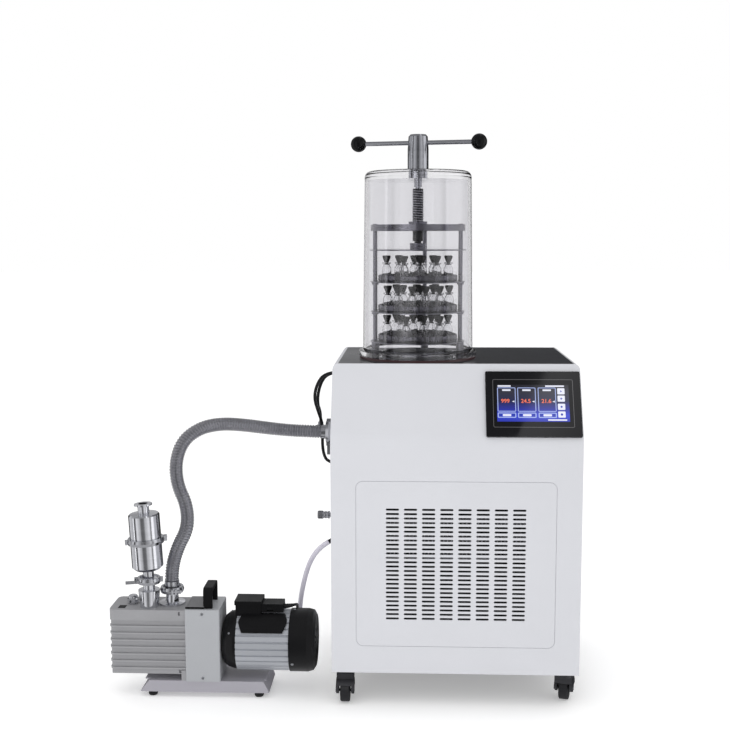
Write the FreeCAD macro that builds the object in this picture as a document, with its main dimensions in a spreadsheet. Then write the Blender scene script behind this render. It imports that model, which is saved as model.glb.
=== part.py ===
import FreeCAD, Part
import math
import os
import re

import Sketcher
from FreeCAD import Placement, Rotation, Vector

# Top-press freeze dryer: a sheet steel cabinet on four swivel casters, with a
# cold trap under a clear drying chamber, and a rotary vane pump beside it.
# Millimetres, +Z up, +X to the right of the cabinet and +Y from its front to
# its rear. The floor is at z = 0, and the origin is the middle of the floor
# area that the cabinet and the pump cover.

doc = FreeCAD.newDocument("freeze_dryer")
sheet = doc.addObject("Spreadsheet::Sheet", "Dimensions")

DIMENSIONS = [
    ("cab_x", 249.5, "middle of the cabinet across"),
    ("cab_y", -226.2, "front face of the cabinet"),
    ("cab_width", 540, "outer width of the cabinet"),
    ("cab_depth", 452, "outer depth of the cabinet"),
    ("cab_foot", 72.5, "underside of the cabinet above the floor"),
    ("cab_top", 746, "level of the deck"),
    ("knee", 592, "level where the front starts to lean back"),
    ("lean", 28, "lean of the console from upright, degrees"),
    ("knee_round", 60, "outer bend radius at the knee"),
    ("edge_round", 12, "radius of the long top edges"),
    ("skin", 1.5, "thickness of the cabinet sheet"),
    ("fold", 12, "width of the top folds beside the deck"),
    ("louvre_half", 216, "half width of the front opening"),
    ("louvre_foot", 133, "lower edge of the front opening"),
    ("louvre_top", 501, "upper edge of the front opening"),
    ("louvre_round", 16, "corner radius of the front opening"),
    ("slot_long", 28.5, "length of a louvre slot"),
    ("slot_high", 4.8, "height of a louvre slot"),
    ("slot_step", 39, "pitch of the slot columns"),
    ("slot_rise", 9.7, "pitch of the slot rows"),
    ("slot_low", 196.1, "middle of the lowest slot row"),
    ("screen_wide", 204, "width of the touch screen frame"),
    ("screen_tall", 149, "height of the touch screen frame"),
    ("screen_proud", 6, "how far the frame stands off the console"),
    ("screen_left", 63.5, "left edge of the frame from the cabinet middle"),
    ("screen_foot", 597, "level of the frame's lower edge on the console"),
    ("caster_half", 241, "caster pivots from the cabinet middle"),
    ("caster_front", 34, "front caster pivots behind the front face"),
    ("caster_rear", 416, "rear caster pivots behind the front face"),
    ("caster_trail", 16, "wheel axle behind its pivot"),
    ("wheel_radius", 25, "caster wheel"),
    ("wheel_wide", 21, "caster wheel"),
    ("jar_x", -83, "chamber axis from the cabinet middle"),
    ("jar_y", 220, "chamber axis behind the front face"),
    ("jar_foot", 752, "underside of the jar flange"),
    ("jar_top", 1170, "top of the jar"),
    ("jar_base_radius", 126.5, "outside of the jar at its foot"),
    ("jar_head_radius", 121.5, "outside of the jar at its head"),
    ("jar_wall", 6, "wall of the jar"),
    ("jar_lid", 21, "thickness of the jar's head"),
    ("trap_radius", 83, "outside of the cold trap"),
    ("trap_floor", 490, "underside of the cold trap"),
    ("trap_rim", 760, "top of the cold trap's collar"),
    ("post_circle", 98, "rack posts from the chamber axis"),
    ("post_radius", 5, "rack posts"),
    ("plate_radius", 108, "rack shelves and top plate"),
    ("shelf_low", 785.5, "top of the lowest shelf"),
    ("shelf_step", 68, "pitch of the shelves"),
    ("tray_radius", 90.7, "outside of a tray"),
    ("tray_tall", 14.5, "height of a tray"),
    ("screw_radius", 12, "press screw"),
    ("shaft_radius", 6, "handle shaft"),
    ("hub_radius", 23.8, "handle hub and lid bushing"),
    ("bar_turn", -11, "handle bar turned from the cabinet's width, degrees"),
    ("bar_reach", 139, "knob centre from the chamber axis"),
    ("knob_radius", 18, "handle knobs"),
    ("port_z", 569, "vacuum port axis"),
    ("hose_radius", 15.5, "outside of the corrugated hose"),
    ("flange_radius", 20, "small vacuum flange"),
    ("pump_y", 77, "pump axis behind the cabinet's front face"),
    ("motor_z", 117, "motor axis"),
    ("motor_radius", 68, "outside of the motor fins"),
    ("base_top", 38, "top of the pump's base channel"),
    ("case_foot", 52, "underside of the oil case"),
    ("case_top", 200, "top of the oil case"),
    ("case_left", -769, "left end of the oil case from the cabinet middle"),
    ("case_right", -598, "right end of the oil case"),
    ("block_right", -520, "right face of the pump block"),
    ("body_left", -485, "left end of the motor body"),
    ("body_right", -367, "right end of the motor body"),
    ("cover_right", -309, "right end of the fan cover"),
    ("exhaust_x", -683, "exhaust port from the cabinet middle"),
    ("exhaust_y", 50, "exhaust port behind the cabinet's front face"),
    ("inlet_x", -636, "pump inlet from the cabinet middle"),
    ("inlet_y", 72, "pump inlet behind the cabinet's front face"),
    ("trap_lean", -3, "lean of the mist trap, degrees"),
]

for row, (alias, value, note) in enumerate(DIMENSIONS, start=1):
    sheet.set(f"A{row}", alias)
    sheet.set(f"B{row}", str(value))
    sheet.set(f"C{row}", note)
    sheet.setAlias(f"B{row}", alias)
doc.recompute()

ALIASES = {alias for alias, value, note in DIMENSIONS}


def bound(text):
    """An expression for another object: each alias gets the sheet's name in front."""

    def named(match):
        word = match.group(0)
        return f"Dimensions.{word}" if word in ALIASES else word

    return re.sub(r"[A-Za-z_][A-Za-z_0-9]*", named, str(text))


def size(text):
    """The number that an expression in the sheet's words stands for."""
    value = sheet.evalExpression(str(text))
    return float(getattr(value, "Value", value))


def bind(obj, prop, text):
    obj.setExpression(prop, bound(text))


# Places: cab(x, y) counts from the middle of the cabinet's front face,
# jar(...) from the chamber axis and pump(...) from the pump's axis plane.
def cab(x, y, z):
    return (f"cab_x + {x}", f"cab_y + {y}", f"{z}")


def jar(x, y, z):
    return (f"cab_x + jar_x + {x}", f"cab_y + jar_y + {y}", f"{z}")


def pump(x, y, z):
    return (f"cab_x + {x}", f"cab_y + pump_y + {y}", f"{z}")


TURNS = {
    "Z": Rotation(Vector(0, 0, 1), 0),
    "X": Rotation(Vector(0, 1, 0), 90),
    "-X": Rotation(Vector(0, 1, 0), -90),
    "Y": Rotation(Vector(1, 0, 0), -90),
    "-Y": Rotation(Vector(1, 0, 0), 90),
}


def put(obj, place, turn=None):
    """Give an object its place, bound to the sheet, and its turn."""
    rotation = turn if isinstance(turn, Rotation) else TURNS[turn or "Z"]
    obj.Placement = Placement(Vector(*[size(part) for part in place]), rotation)
    for letter, part in zip("xyz", place):
        bind(obj, f"Placement.Base.{letter}", part)
    return obj


def block(label, length, width, height, place, turn=None):
    """A box whose low corner is at the place."""
    box = doc.addObject("Part::Box", label)
    box.Label = label
    bind(box, "Length", length)
    bind(box, "Width", width)
    bind(box, "Height", height)
    return put(box, place, turn)


def rod(label, radius, height, place, turn=None):
    """A cylinder that starts at the place and runs along +Z, or along the turned axis."""
    cylinder = doc.addObject("Part::Cylinder", label)
    cylinder.Label = label
    bind(cylinder, "Radius", radius)
    bind(cylinder, "Height", height)
    return put(cylinder, place, turn)


def ball(label, radius, place):
    sphere = doc.addObject("Part::Sphere", label)
    sphere.Label = label
    bind(sphere, "Radius", radius)
    return put(sphere, place)


def join(label, *pieces):
    fuse = doc.addObject("Part::MultiFuse", label)
    fuse.Label = label
    fuse.Shapes = list(pieces)
    return fuse


def cut(label, base, *tools):
    result = doc.addObject("Part::Cut", label)
    result.Label = label
    result.Base = base
    result.Tool = tools[0] if len(tools) == 1 else join(f"{label}_tools", *tools)
    return result


def shared(label, first, second):
    common = doc.addObject("Part::Common", label)
    common.Label = label
    common.Base = first
    common.Tool = second
    return common


def rounded(label, base, radius, wanted):
    """Fillet the edges for which wanted(edge) is true."""
    doc.recompute()
    fillet = doc.addObject("Part::Fillet", label)
    fillet.Label = label
    fillet.Base = base
    value = size(radius)
    edges = [i for i, edge in enumerate(base.Shape.Edges, start=1) if wanted(edge)]
    if not edges:
        raise ValueError(f"{label}: no edge to round")
    fillet.Edges = [(i, value, value) for i in edges]
    return fillet


def along(axis, *tests):
    """A test for straight edges that run along an axis and pass the other tests."""
    direction = {"X": Vector(1, 0, 0), "Y": Vector(0, 1, 0), "Z": Vector(0, 0, 1)}[axis]

    def wanted(edge):
        if edge.Curve.TypeId != "Part::GeomLine":
            return False
        run = edge.Vertexes[-1].Point.sub(edge.Vertexes[0].Point)
        straight = abs(abs(run.normalize().dot(direction)) - 1) < 1e-6
        return straight and all(test(edge.CenterOfMass) for test in tests)

    return wanted


def group(label, *pieces):
    """Separate solids that share one node."""
    compound = doc.addObject("Part::Compound", label)
    compound.Label = label
    compound.Links = list(pieces)
    return compound


def body(label, place, turn=None):
    result = doc.addObject("PartDesign::Body", label)
    result.Label = label
    return put(result, place, turn)


def plane(owner, role):
    return next(f for f in owner.Origin.OriginFeatures if f.Role == role)


def outline(owner, name, role, corners):
    """A closed polygon sketch, each corner held by two sizes from the sheet."""
    sketch = owner.newObject("Sketcher::SketchObject", name)
    sketch.AttachmentSupport = (plane(owner, role), [""])
    sketch.MapMode = "FlatFace"
    points = [Vector(size(u), size(v), 0) for u, v in corners]
    count = len(points)
    for i in range(count):
        sketch.addGeometry(Part.LineSegment(points[i], points[(i + 1) % count]), False)
    for i in range(count):
        joint = Sketcher.Constraint("Coincident", i, 2, (i + 1) % count, 1)
        sketch.addConstraint(joint)
    for i, (u, v) in enumerate(corners):
        for kind, text, number, axis in (
            ("DistanceX", u, points[i].x, -2),
            ("DistanceY", v, points[i].y, -1),
        ):
            if abs(number) < 1e-9:
                on_axis = Sketcher.Constraint("PointOnObject", i, 1, axis)
                sketch.addConstraint(on_axis)
                continue
            held = Sketcher.Constraint(kind, -1, 1, i, 1, number)
            index = sketch.addConstraint(held)
            bind(sketch, f"Constraints[{index}]", text)
    return sketch


def softened(owner, name, edges, radius):
    """Round edges of a body's latest feature, and make the result its tip."""
    base = owner.Tip
    fillet = owner.newObject("PartDesign::Fillet", name)
    fillet.Base = (base, edges)
    bind(fillet, "Radius", radius)
    owner.Tip = fillet
    return fillet


def circle(owner, name, role, u, v, radius):
    """A sketch of one circle, held by its centre and radius."""
    sketch = owner.newObject("Sketcher::SketchObject", name)
    sketch.AttachmentSupport = (plane(owner, role), [""])
    sketch.MapMode = "FlatFace"
    centre = Vector(size(u), size(v), 0)
    sketch.addGeometry(Part.Circle(centre, Vector(0, 0, 1), size(radius)), False)
    index = sketch.addConstraint(Sketcher.Constraint("Radius", 0, size(radius)))
    bind(sketch, f"Constraints[{index}]", radius)
    for kind, text, number, axis in (
        ("DistanceX", u, centre.x, -2),
        ("DistanceY", v, centre.y, -1),
    ):
        if abs(number) < 1e-9:
            sketch.addConstraint(Sketcher.Constraint("PointOnObject", 0, 3, axis))
            continue
        index = sketch.addConstraint(Sketcher.Constraint(kind, -1, 1, 0, 3, number))
        bind(sketch, f"Constraints[{index}]", text)
    return sketch


def turned(label, corners, place, turn=None):
    """A turned piece: corners are (radius, height) round the piece's own Z axis."""
    result = body(label, place, turn)
    sketch = outline(result, f"{label}_section", "XZ_Plane", corners)
    revolve = result.newObject("PartDesign::Revolution", f"{label}_turned")
    revolve.Profile = sketch
    revolve.ReferenceAxis = (sketch, ["V_Axis"])
    revolve.Angle = 360
    return result


def drawn(label, role, corners, length, place, turn=None, back=False):
    """A prism: the outline on one of the piece's own planes, pushed out by a length."""
    result = body(label, place, turn)
    sketch = outline(result, f"{label}_section", role, corners)
    pad = result.newObject("PartDesign::Pad", f"{label}_pad")
    pad.Profile = sketch
    bind(pad, "Length", length)
    pad.Reversed = back
    return result


def repeated(owner, feature, axis, span, count, label):
    """Repeat a feature in a row along one of the body's own axes."""
    pattern = owner.newObject("PartDesign::LinearPattern", label)
    pattern.Originals = [feature]
    pattern.Direction = (plane(owner, axis), [""])
    bind(pattern, "Length", span)
    pattern.Occurrences = count
    owner.Tip = pattern
    return pattern


def ringed(owner, feature, axis, count, label):
    """Repeat a feature evenly round one of the body's own axes."""
    pattern = owner.newObject("PartDesign::PolarPattern", label)
    pattern.Originals = [feature]
    pattern.Axis = (plane(owner, axis), [""])
    pattern.Angle = 360
    pattern.Occurrences = count
    owner.Tip = pattern
    return pattern


# ---------------------------------------------------------------- cabinet
# The casing is folded sheet: a front that leans back above the knee, two sides
# and a back whose long top edges are rounded, and a dark deck let in between.
LEAN_RUN = "(cab_top - knee) * tan(lean)"
TOP_GAP = "skin / cos(lean)"


def leaning_form(label, inset, foot, top, rear, half_width):
    """A full prism behind the cabinet's front, with the knee's bend on it."""
    knee_level = f"knee - ({inset}) * tan(lean / 2)"
    solid = drawn(
        label,
        "YZ_Plane",
        [
            (inset, foot),
            (inset, knee_level),
            (f"(({top}) - knee) * tan(lean) + ({inset}) / cos(lean)", top),
            (rear, top),
            (rear, foot),
        ],
        f"2 * ({half_width})",
        (f"cab_x - ({half_width})", "cab_y", "0"),
    )
    doc.recompute()
    crosswise = along("X", lambda p: abs(p.z - size(knee_level)) < 0.01)
    bends = [f"Edge{i}" for i, edge in enumerate(solid.Shape.Edges, start=1) if crosswise(edge)]
    softened(solid, f"{label}_knee", bends, f"knee_round - ({inset})")
    return solid


def cabinet_form(label, inset, foot, edge):
    """The cabinet's outer form, or its inner one when inset."""
    top = f"cab_top - ({inset})"
    half_width = f"cab_width / 2 - ({inset})"
    rear = f"cab_depth - ({inset})"
    solid = leaning_form(f"{label}_profile", inset, foot, top, rear, half_width)
    bar = block(
        f"{label}_bar",
        f"2 * ({half_width})",
        "cab_depth + 100",
        f"{top} - ({foot})",
        (f"cab_x - ({half_width})", "cab_y - 50", foot),
    )
    level = size(top)
    soft = rounded(f"{label}_soft", bar, edge, along("Y", lambda p: abs(p.z - level) < 0.01))
    return shared(label, solid, soft)


outer_form = cabinet_form("outer_form", "0", "cab_foot", "edge_round")
inner_form = cabinet_form("inner_form", "skin", "cab_foot - 20", "edge_round - skin")
casing = cut("casing", outer_form, inner_form)

# Front panel: one sheet across the whole front, bent at the knee. It holds an
# opening for the louvre panel and one for the touch screen's body.
behind_front = leaning_form(
    "behind_front", "skin", "cab_foot - 20", "cab_top + 60", "cab_depth + 20", "cab_width"
)
front_sheet = cut("front_sheet", outer_form, behind_front)

louvre_hole = block(
    "louvre_hole",
    "2 * louvre_half",
    "skin + 2",
    "louvre_top - louvre_foot",
    cab("-louvre_half", "-1", "louvre_foot"),
)
louvre_hole_soft = rounded("louvre_hole_soft", louvre_hole, "louvre_round", along("Y"))

screen_turn = Rotation(Vector(1, 0, 0), -size("lean"))
SCREEN_PLACE = cab("screen_left", "(screen_foot - knee) * tan(lean)", "screen_foot")
SCREEN_BODY_INSET = "6"
screen_hole = block(
    "screen_hole",
    f"screen_wide - 2 * {SCREEN_BODY_INSET}",
    "20",
    f"screen_tall - 2 * {SCREEN_BODY_INSET}",
    ("0", "0", "0"),
)
put(
    screen_hole,
    (
        f"cab_x + screen_left + {SCREEN_BODY_INSET}",
        f"cab_y + (screen_foot - knee) * tan(lean) + {SCREEN_BODY_INSET} * sin(lean) - 10 * cos(lean)",
        f"screen_foot + {SCREEN_BODY_INSET} * cos(lean) + 10 * sin(lean)",
    ),
    screen_turn,
)
front_panel = cut("front_panel", front_sheet, louvre_hole_soft, screen_hole)

# Side panels and rear panel are the parts of the casing that the front leaves.
for side, low_corner in (("left", "-cab_width / 2"), ("right", "cab_width / 2 - fold")):
    span = block(
        f"{side}_span",
        "fold",
        "cab_depth - skin",
        "cab_top",
        cab(low_corner, "0", "0"),
    )
    wall = shared(f"{side}_wall", casing, span)
    if side == "left":
        port_spot = cab("-cab_width / 2 - 20", "jar_y", "port_z")
        port_hole = rod("port_hole", "12.8", "40", port_spot, "X")
        left_side_panel = cut("left_side_panel", wall, front_sheet, port_hole)
    else:
        right_side_panel = cut("right_side_panel", wall, front_sheet)

rear_sheet = block(
    "rear_sheet",
    "cab_width",
    "skin",
    "cab_top",
    cab("-cab_width / 2", "cab_depth - skin", "0"),
)
rear_fold = block(
    "rear_fold",
    "cab_width - 2 * fold",
    "fold",
    "2 * skin",
    cab("-cab_width / 2 + fold", "cab_depth - fold", "cab_top - 2 * skin"),
)
rear_form = join("rear_form", rear_sheet, rear_fold)
rear_blank = shared("rear_blank", casing, rear_form)

rear_vents = [
    block(f"rear_vent_{row}", "300", "10", "6", cab("-120", "cab_depth - 6", f"180 + {row} * 15"))
    for row in range(12)
]
rear_panel = cut("rear_panel", rear_blank, *rear_vents)

# Louvre panel: flush in the front opening, with a flange behind the sheet.
LOUVRE_GAP = "1"
louvre_panel = body("louvre_panel", cab("0", "0", "0"))
flange_half = "louvre_half + 8"
flange = outline(
    louvre_panel,
    "louvre_flange",
    "XZ_Plane",
    [
        (f"-({flange_half})", "louvre_foot - 8"),
        (flange_half, "louvre_foot - 8"),
        (flange_half, "louvre_top + 8"),
        (f"-({flange_half})", "louvre_top + 8"),
    ],
)
flange_pad = louvre_panel.newObject("PartDesign::Pad", "louvre_flange_pad")
flange_pad.Profile = flange
bind(flange_pad, "Length", "2 * skin")
flange_pad.Reversed = True
doc.recompute()
rim_outer = [
    ("-(louvre_half + 30)", "louvre_foot - 30"),
    ("louvre_half + 30", "louvre_foot - 30"),
    ("louvre_half + 30", "louvre_top + 30"),
    ("-(louvre_half + 30)", "louvre_top + 30"),
]
rim = outline(louvre_panel, "louvre_rim", "XZ_Plane", rim_outer)
half = size(f"louvre_half - {LOUVRE_GAP}")
low = size(f"louvre_foot + {LOUVRE_GAP}")
high = size(f"louvre_top - {LOUVRE_GAP}")
bend = size(f"louvre_round - {LOUVRE_GAP}")
quarter = math.pi / 2
start = len(rim.Geometry)
bend_centres = (
    (half - bend, high - bend),
    (-half + bend, high - bend),
    (-half + bend, low + bend),
    (half - bend, low + bend),
)
for turn_number, (cx, cz) in enumerate(bend_centres):
    corner = Part.Circle(Vector(cx, cz, 0), Vector(0, 0, 1), bend)
    first = turn_number * quarter
    rim.addGeometry(Part.ArcOfCircle(corner, first, first + quarter), False)
arcs = [rim.Geometry[start + i] for i in range(4)]
for i in range(4):
    rim.addGeometry(Part.LineSegment(arcs[i].EndPoint, arcs[(i + 1) % 4].StartPoint), False)
for i in range(4):
    rim.addConstraint(Sketcher.Constraint("Coincident", start + i, 2, start + 4 + i, 1))
    rim.addConstraint(Sketcher.Constraint("Coincident", start + 4 + i, 2, start + (i + 1) % 4, 1))
rim_cut = louvre_panel.newObject("PartDesign::Pocket", "louvre_rim_cut")
rim_cut.Profile = rim
bind(rim_cut, "Length", "skin")
doc.recompute()
slots = louvre_panel.newObject("Sketcher::SketchObject", "louvre_slots")
slots.AttachmentSupport = (plane(louvre_panel, "XZ_Plane"), [""])
slots.MapMode = "FlatFace"
nose = size("slot_high") / 2
for column in range(8):
    middle = (column - 3.5) * size("slot_step")
    reach = size("slot_long") / 2 - nose
    level = size("slot_low")
    for sign in (1, -1):
        end = Part.Circle(Vector(middle + sign * reach, level, 0), Vector(0, 0, 1), nose)
        first = -quarter if sign > 0 else quarter
        slots.addGeometry(Part.ArcOfCircle(end, first, first + math.pi), False)
    right_end, left_end = slots.Geometry[-2], slots.Geometry[-1]
    slots.addGeometry(Part.LineSegment(right_end.EndPoint, left_end.StartPoint), False)
    slots.addGeometry(Part.LineSegment(left_end.EndPoint, right_end.StartPoint), False)
    base_index = 4 * column
    for a, b in ((0, 2), (2, 1), (1, 3), (3, 0)):
        slots.addConstraint(Sketcher.Constraint("Coincident", base_index + a, 2, base_index + b, 1))
slot_cut = louvre_panel.newObject("PartDesign::Pocket", "louvre_slot_cut")
slot_cut.Profile = slots
bind(slot_cut, "Length", "2 * skin + 1")
doc.recompute()
repeated(louvre_panel, slot_cut, "Z_Axis", "25 * slot_rise", 26, "louvre_slot_rows")

# Deck: a dark plate between the folds, with a skirt under its rim and a round
# hole for the cold trap.
DECK_FRONT = f"{LEAN_RUN} + {TOP_GAP}"
deck_plate = block(
    "deck_plate",
    "cab_width - 2 * fold",
    f"cab_depth - fold - ({DECK_FRONT})",
    "14",
    cab("-cab_width / 2 + fold", DECK_FRONT, "cab_top - 14"),
)
deck_hollow = block(
    "deck_hollow",
    "cab_width - 2 * fold - 2 * skin",
    f"cab_depth - fold - ({DECK_FRONT}) - 2 * skin - 4",
    "14 - skin",
    cab("-cab_width / 2 + fold + skin", f"{DECK_FRONT} + skin + 4", "cab_top - 14"),
)
deck_hole = rod("deck_hole", "trap_radius + 0.5", "30", jar("0", "0", "cab_top - 20"))
top_deck = cut("top_deck", deck_plate, deck_hollow, deck_hole)

# Base frame: a folded pan with a kingpin under each corner.
pan_outer = block(
    "pan_outer",
    "cab_width - 2 * skin",
    "cab_depth - 2 * skin",
    "22",
    cab("-cab_width / 2 + skin", "skin", "cab_foot"),
)
pan_inner = block(
    "pan_inner",
    "cab_width - 2 * skin - 4",
    "cab_depth - 2 * skin - 4",
    "22",
    cab("-cab_width / 2 + skin + 2", "skin + 2", "cab_foot + 2"),
)
pan = cut("pan", pan_outer, pan_inner)
CASTERS = (
    ("front_left", -1, "caster_front", 0),
    ("front_right", 1, "caster_front", 165),
    ("rear_left", -1, "caster_rear", 12),
    ("rear_right", 1, "caster_rear", -15),
)
kingpins = [
    rod(f"kingpin_{name}", "5", "13", cab(f"{side} * caster_half", depth, "cab_foot - 12.5"))
    for name, side, depth, turn in CASTERS
]
base_frame = join("base_frame", pan, *kingpins)

# Casters: a moulded hood with two cheeks turns on the kingpin, and a wheel
# with its axle turns between the cheeks, one trail behind the pivot.
caster_nodes = []
for name, side, depth, turn in CASTERS:
    pivot = cab(f"{side} * caster_half", depth, "0")
    spin = Rotation(Vector(0, 0, 1), turn)
    parts = [
        rod(f"hood_{name}", "wheel_radius + 2.3", "40", ("-20", "-caster_trail", "wheel_radius"), "X"),
        rod(f"head_{name}", "20", "13", ("0", "0", "cab_foot - 13.3")),
        block(f"neck_{name}", "38", "30", "22", ("-19", "-caster_trail - 6", "wheel_radius + 18")),
    ]
    bulk = join(f"bulk_{name}", *parts)
    hollows = [
        rod(f"well_{name}", "wheel_radius + 1.2", "27.5", ("-13.75", "-caster_trail", "wheel_radius"), "X"),
        block(f"mouth_{name}", "60", "80", "30", ("-30", "-56", "-10")),
        block(f"mouth_front_{name}", "60", "31", "40", ("-30", "-caster_trail - 40", "-10")),
        block(f"mouth_rear_{name}", "60", "31", "40", ("-30", "-caster_trail + 9", "-10")),
        block(f"open_{name}", "27.5", "80", "34", ("-13.75", "-56", "8")),
        rod(f"eye_{name}", "3.05", "60", ("-30", "-caster_trail", "wheel_radius"), "X"),
        rod(f"bore_{name}", "5.05", "30", ("0", "0", "cab_foot - 13.5")),
    ]
    fork = cut(f"caster_fork_{name}", bulk, *hollows)
    doc.recompute()
    put(fork, pivot, spin)
    tyre = turned(
        f"tyre_{name}",
        [
            ("0", "-wheel_wide / 2"),
            ("wheel_radius - 2", "-wheel_wide / 2"),
            ("wheel_radius", "-wheel_wide / 2 + 2"),
            ("wheel_radius", "wheel_wide / 2 - 2"),
            ("wheel_radius - 2", "wheel_wide / 2"),
            ("0", "wheel_wide / 2"),
        ],
        ("0", "-caster_trail", "wheel_radius"),
        "X",
    )
    axle = rod(f"axle_{name}", "3", "38", ("-19", "-caster_trail", "wheel_radius"), "X")
    wheel = join(f"caster_wheel_{name}", tyre, axle)
    doc.recompute()
    put(wheel, pivot, spin)
    caster_nodes += [fork, wheel]

# ------------------------------------------------------- refrigeration inside
cup = turned(
    "cup",
    [
        ("0", "trap_floor"),
        ("trap_radius", "trap_floor"),
        ("trap_radius", "cab_top"),
        ("trap_radius + 4", "cab_top"),
        ("trap_radius + 4", "cab_top + 2"),
        ("trap_radius", "cab_top + 2"),
        ("trap_radius", "trap_rim"),
        ("trap_radius - 2", "trap_rim"),
        ("trap_radius - 2", "trap_floor + 3"),
        ("0", "trap_floor + 3"),
    ],
    jar("0", "0", "0"),
)
cup_hole = rod("cup_hole", "10.5", "12", jar("-trap_radius - 6", "0", "port_z"), "X")
cold_trap = cut("cold_trap", cup, cup_hole)

can = turned(
    "compressor_can",
    [
        ("0", "0"),
        ("60", "0"),
        ("74", "16"),
        ("74", "80"),
        ("76", "82"),
        ("76", "90"),
        ("74", "92"),
        ("74", "150"),
        ("58", "180"),
        ("0", "190"),
    ],
    cab("140", "325", "cab_foot + 6"),
)
can_foot = block("compressor_foot", "180", "140", "4", cab("50", "255", "cab_foot + 2"))
compressor = join("compressor", can, can_foot)

condenser = drawn(
    "condenser",
    "XY_Plane",
    [("-160", "40"), ("160", "40"), ("160", "75"), ("-160", "75")],
    "360",
    cab("0", "0", "cab_foot + 2"),
)
doc.recompute()
fin_gap = outline(
    condenser,
    "condenser_gap",
    "XY_Plane",
    [("-155", "39"), ("-151", "39"), ("-151", "46"), ("-155", "46")],
)
fin_cut = condenser.newObject("PartDesign::Pocket", "condenser_gap_cut")
fin_cut.Profile = fin_gap
fin_cut.Length = 400
fin_cut.Reversed = True
doc.recompute()
repeated(condenser, fin_cut, "X_Axis", "306", 52, "condenser_gaps")

# Condenser fan: shroud, ring, arms and motor are one bracket, and the fan's
# hub turns on the motor's shaft.
FAN_Z = "265"
shroud = block("shroud", "320", "3", "360", cab("-160", "75", "cab_foot + 2"))
shroud_hole = rod("shroud_hole", "100", "10", cab("0", "70", FAN_Z), "Y")
shroud_plate = cut("shroud_plate", shroud, shroud_hole)
ring_out = rod("ring_out", "104", "44", cab("0", "78", FAN_Z), "Y")
ring_in = rod("ring_in", "100", "60", cab("0", "70", FAN_Z), "Y")
ring = cut("shroud_ring", ring_out, ring_in)
arm_across = block("arm_across", "206", "4", "14", cab("-103", "118", f"{FAN_Z} - 7"))
arm_up = block("arm_up", "14", "4", "206", cab("-7", "118", f"{FAN_Z} - 103"))
motor_can = rod("motor_can", "35", "48", cab("0", "120", FAN_Z), "Y")
fan_shaft = rod("fan_shaft", "4", "26", cab("0", "96", FAN_Z), "Y")
fan_motor = join("fan_motor", shroud_plate, ring, arm_across, arm_up, motor_can, fan_shaft)

hub = rod("fan_hub", "24", "18", cab("0", "94", FAN_Z), "Y")
blades = []
for i in range(5):
    blade = doc.addObject("Part::Box", f"fan_blade_{i}")
    blade.Length = 34
    blade.Width = 2
    blade.Height = 72
    pitch = Placement(Vector(-17, -1, 22), Rotation())
    twist = Placement(Vector(0, 0, 0), Rotation(Vector(0, 0, 1), 25))
    around = Placement(Vector(0, 0, 0), Rotation(Vector(0, 1, 0), 72 * i))
    centre = Placement(Vector(size("cab_x"), size("cab_y") + 103, size(FAN_Z)), Rotation())
    blade.Placement = centre.multiply(around).multiply(twist).multiply(pitch)
    blades.append(blade)
fan_bore = rod("fan_bore", "4.05", "30", cab("0", "90", FAN_Z), "Y")
fan_blank = join("fan_blank", hub, *blades)
condenser_fan = cut("condenser_fan", fan_blank, fan_bore)

# Power inlet: a plate on the back with a recessed three-pin socket.
inlet_plate = block("inlet_plate", "60", "3", "50", cab("-240", "cab_depth", "110"))
inlet_well = block("inlet_well", "28", "5", "20", cab("-224", "cab_depth + 0.8", "125"))
inlet_pins = [
    block(f"inlet_pin_{i}", "2", "2.5", "5", cab(f"-218 + {i} * 7", "cab_depth + 0.5", "132"))
    for i in range(3)
]
power_inlet = join("power_inlet", cut("inlet_body", inlet_plate, inlet_well), *inlet_pins)

# ---------------------------------------------------------- touch screen
frame_blank = block(
    "screen_frame",
    "screen_wide",
    "screen_proud",
    "screen_tall",
    ("0", "-screen_proud", "0"),
)
frame_soft = rounded("screen_frame_soft", frame_blank, "3", along("Y"))
screen_body = block(
    "screen_body",
    "screen_wide - 14",
    "34",
    "screen_tall - 14",
    ("7", "0", "7"),
)
touch_screen = join("touch_screen", frame_soft, screen_body)
doc.recompute()
put(touch_screen, SCREEN_PLACE, screen_turn)

# ------------------------------------------------------- drying chamber
jar_seal = turned(
    "jar_seal",
    [
        ("jar_base_radius - 7", "cab_top"),
        ("jar_base_radius + 7", "cab_top"),
        ("jar_base_radius + 5.5", "jar_foot"),
        ("jar_base_radius - 6", "jar_foot"),
    ],
    jar("0", "0", "0"),
)

bell_jar = turned(
    "bell_jar",
    [
        ("jar_base_radius - jar_wall", "jar_foot"),
        ("jar_base_radius + 9", "jar_foot"),
        ("jar_base_radius + 9", "jar_foot + 11"),
        ("jar_base_radius + 3", "jar_foot + 12"),
        ("jar_base_radius", "jar_foot + 17"),
        ("jar_head_radius", "jar_top - jar_lid"),
        ("jar_head_radius", "jar_top"),
        ("21.6", "jar_top"),
        ("21.6", "jar_top - jar_lid"),
        ("jar_head_radius - jar_wall", "jar_top - jar_lid"),
    ],
    jar("0", "0", "0"),
)
doc.recompute()
shoulder = [
    f"Edge{i}"
    for i, side in enumerate(bell_jar.Shape.Edges, start=1)
    if side.Curve.TypeId == "Part::GeomCircle"
    and abs(side.Curve.Radius - size("jar_head_radius")) < 0.01
    and abs(side.Curve.Center.z - size("jar_top")) < 0.01
]
softened(bell_jar, "jar_shoulder", shoulder, "14")

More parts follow.
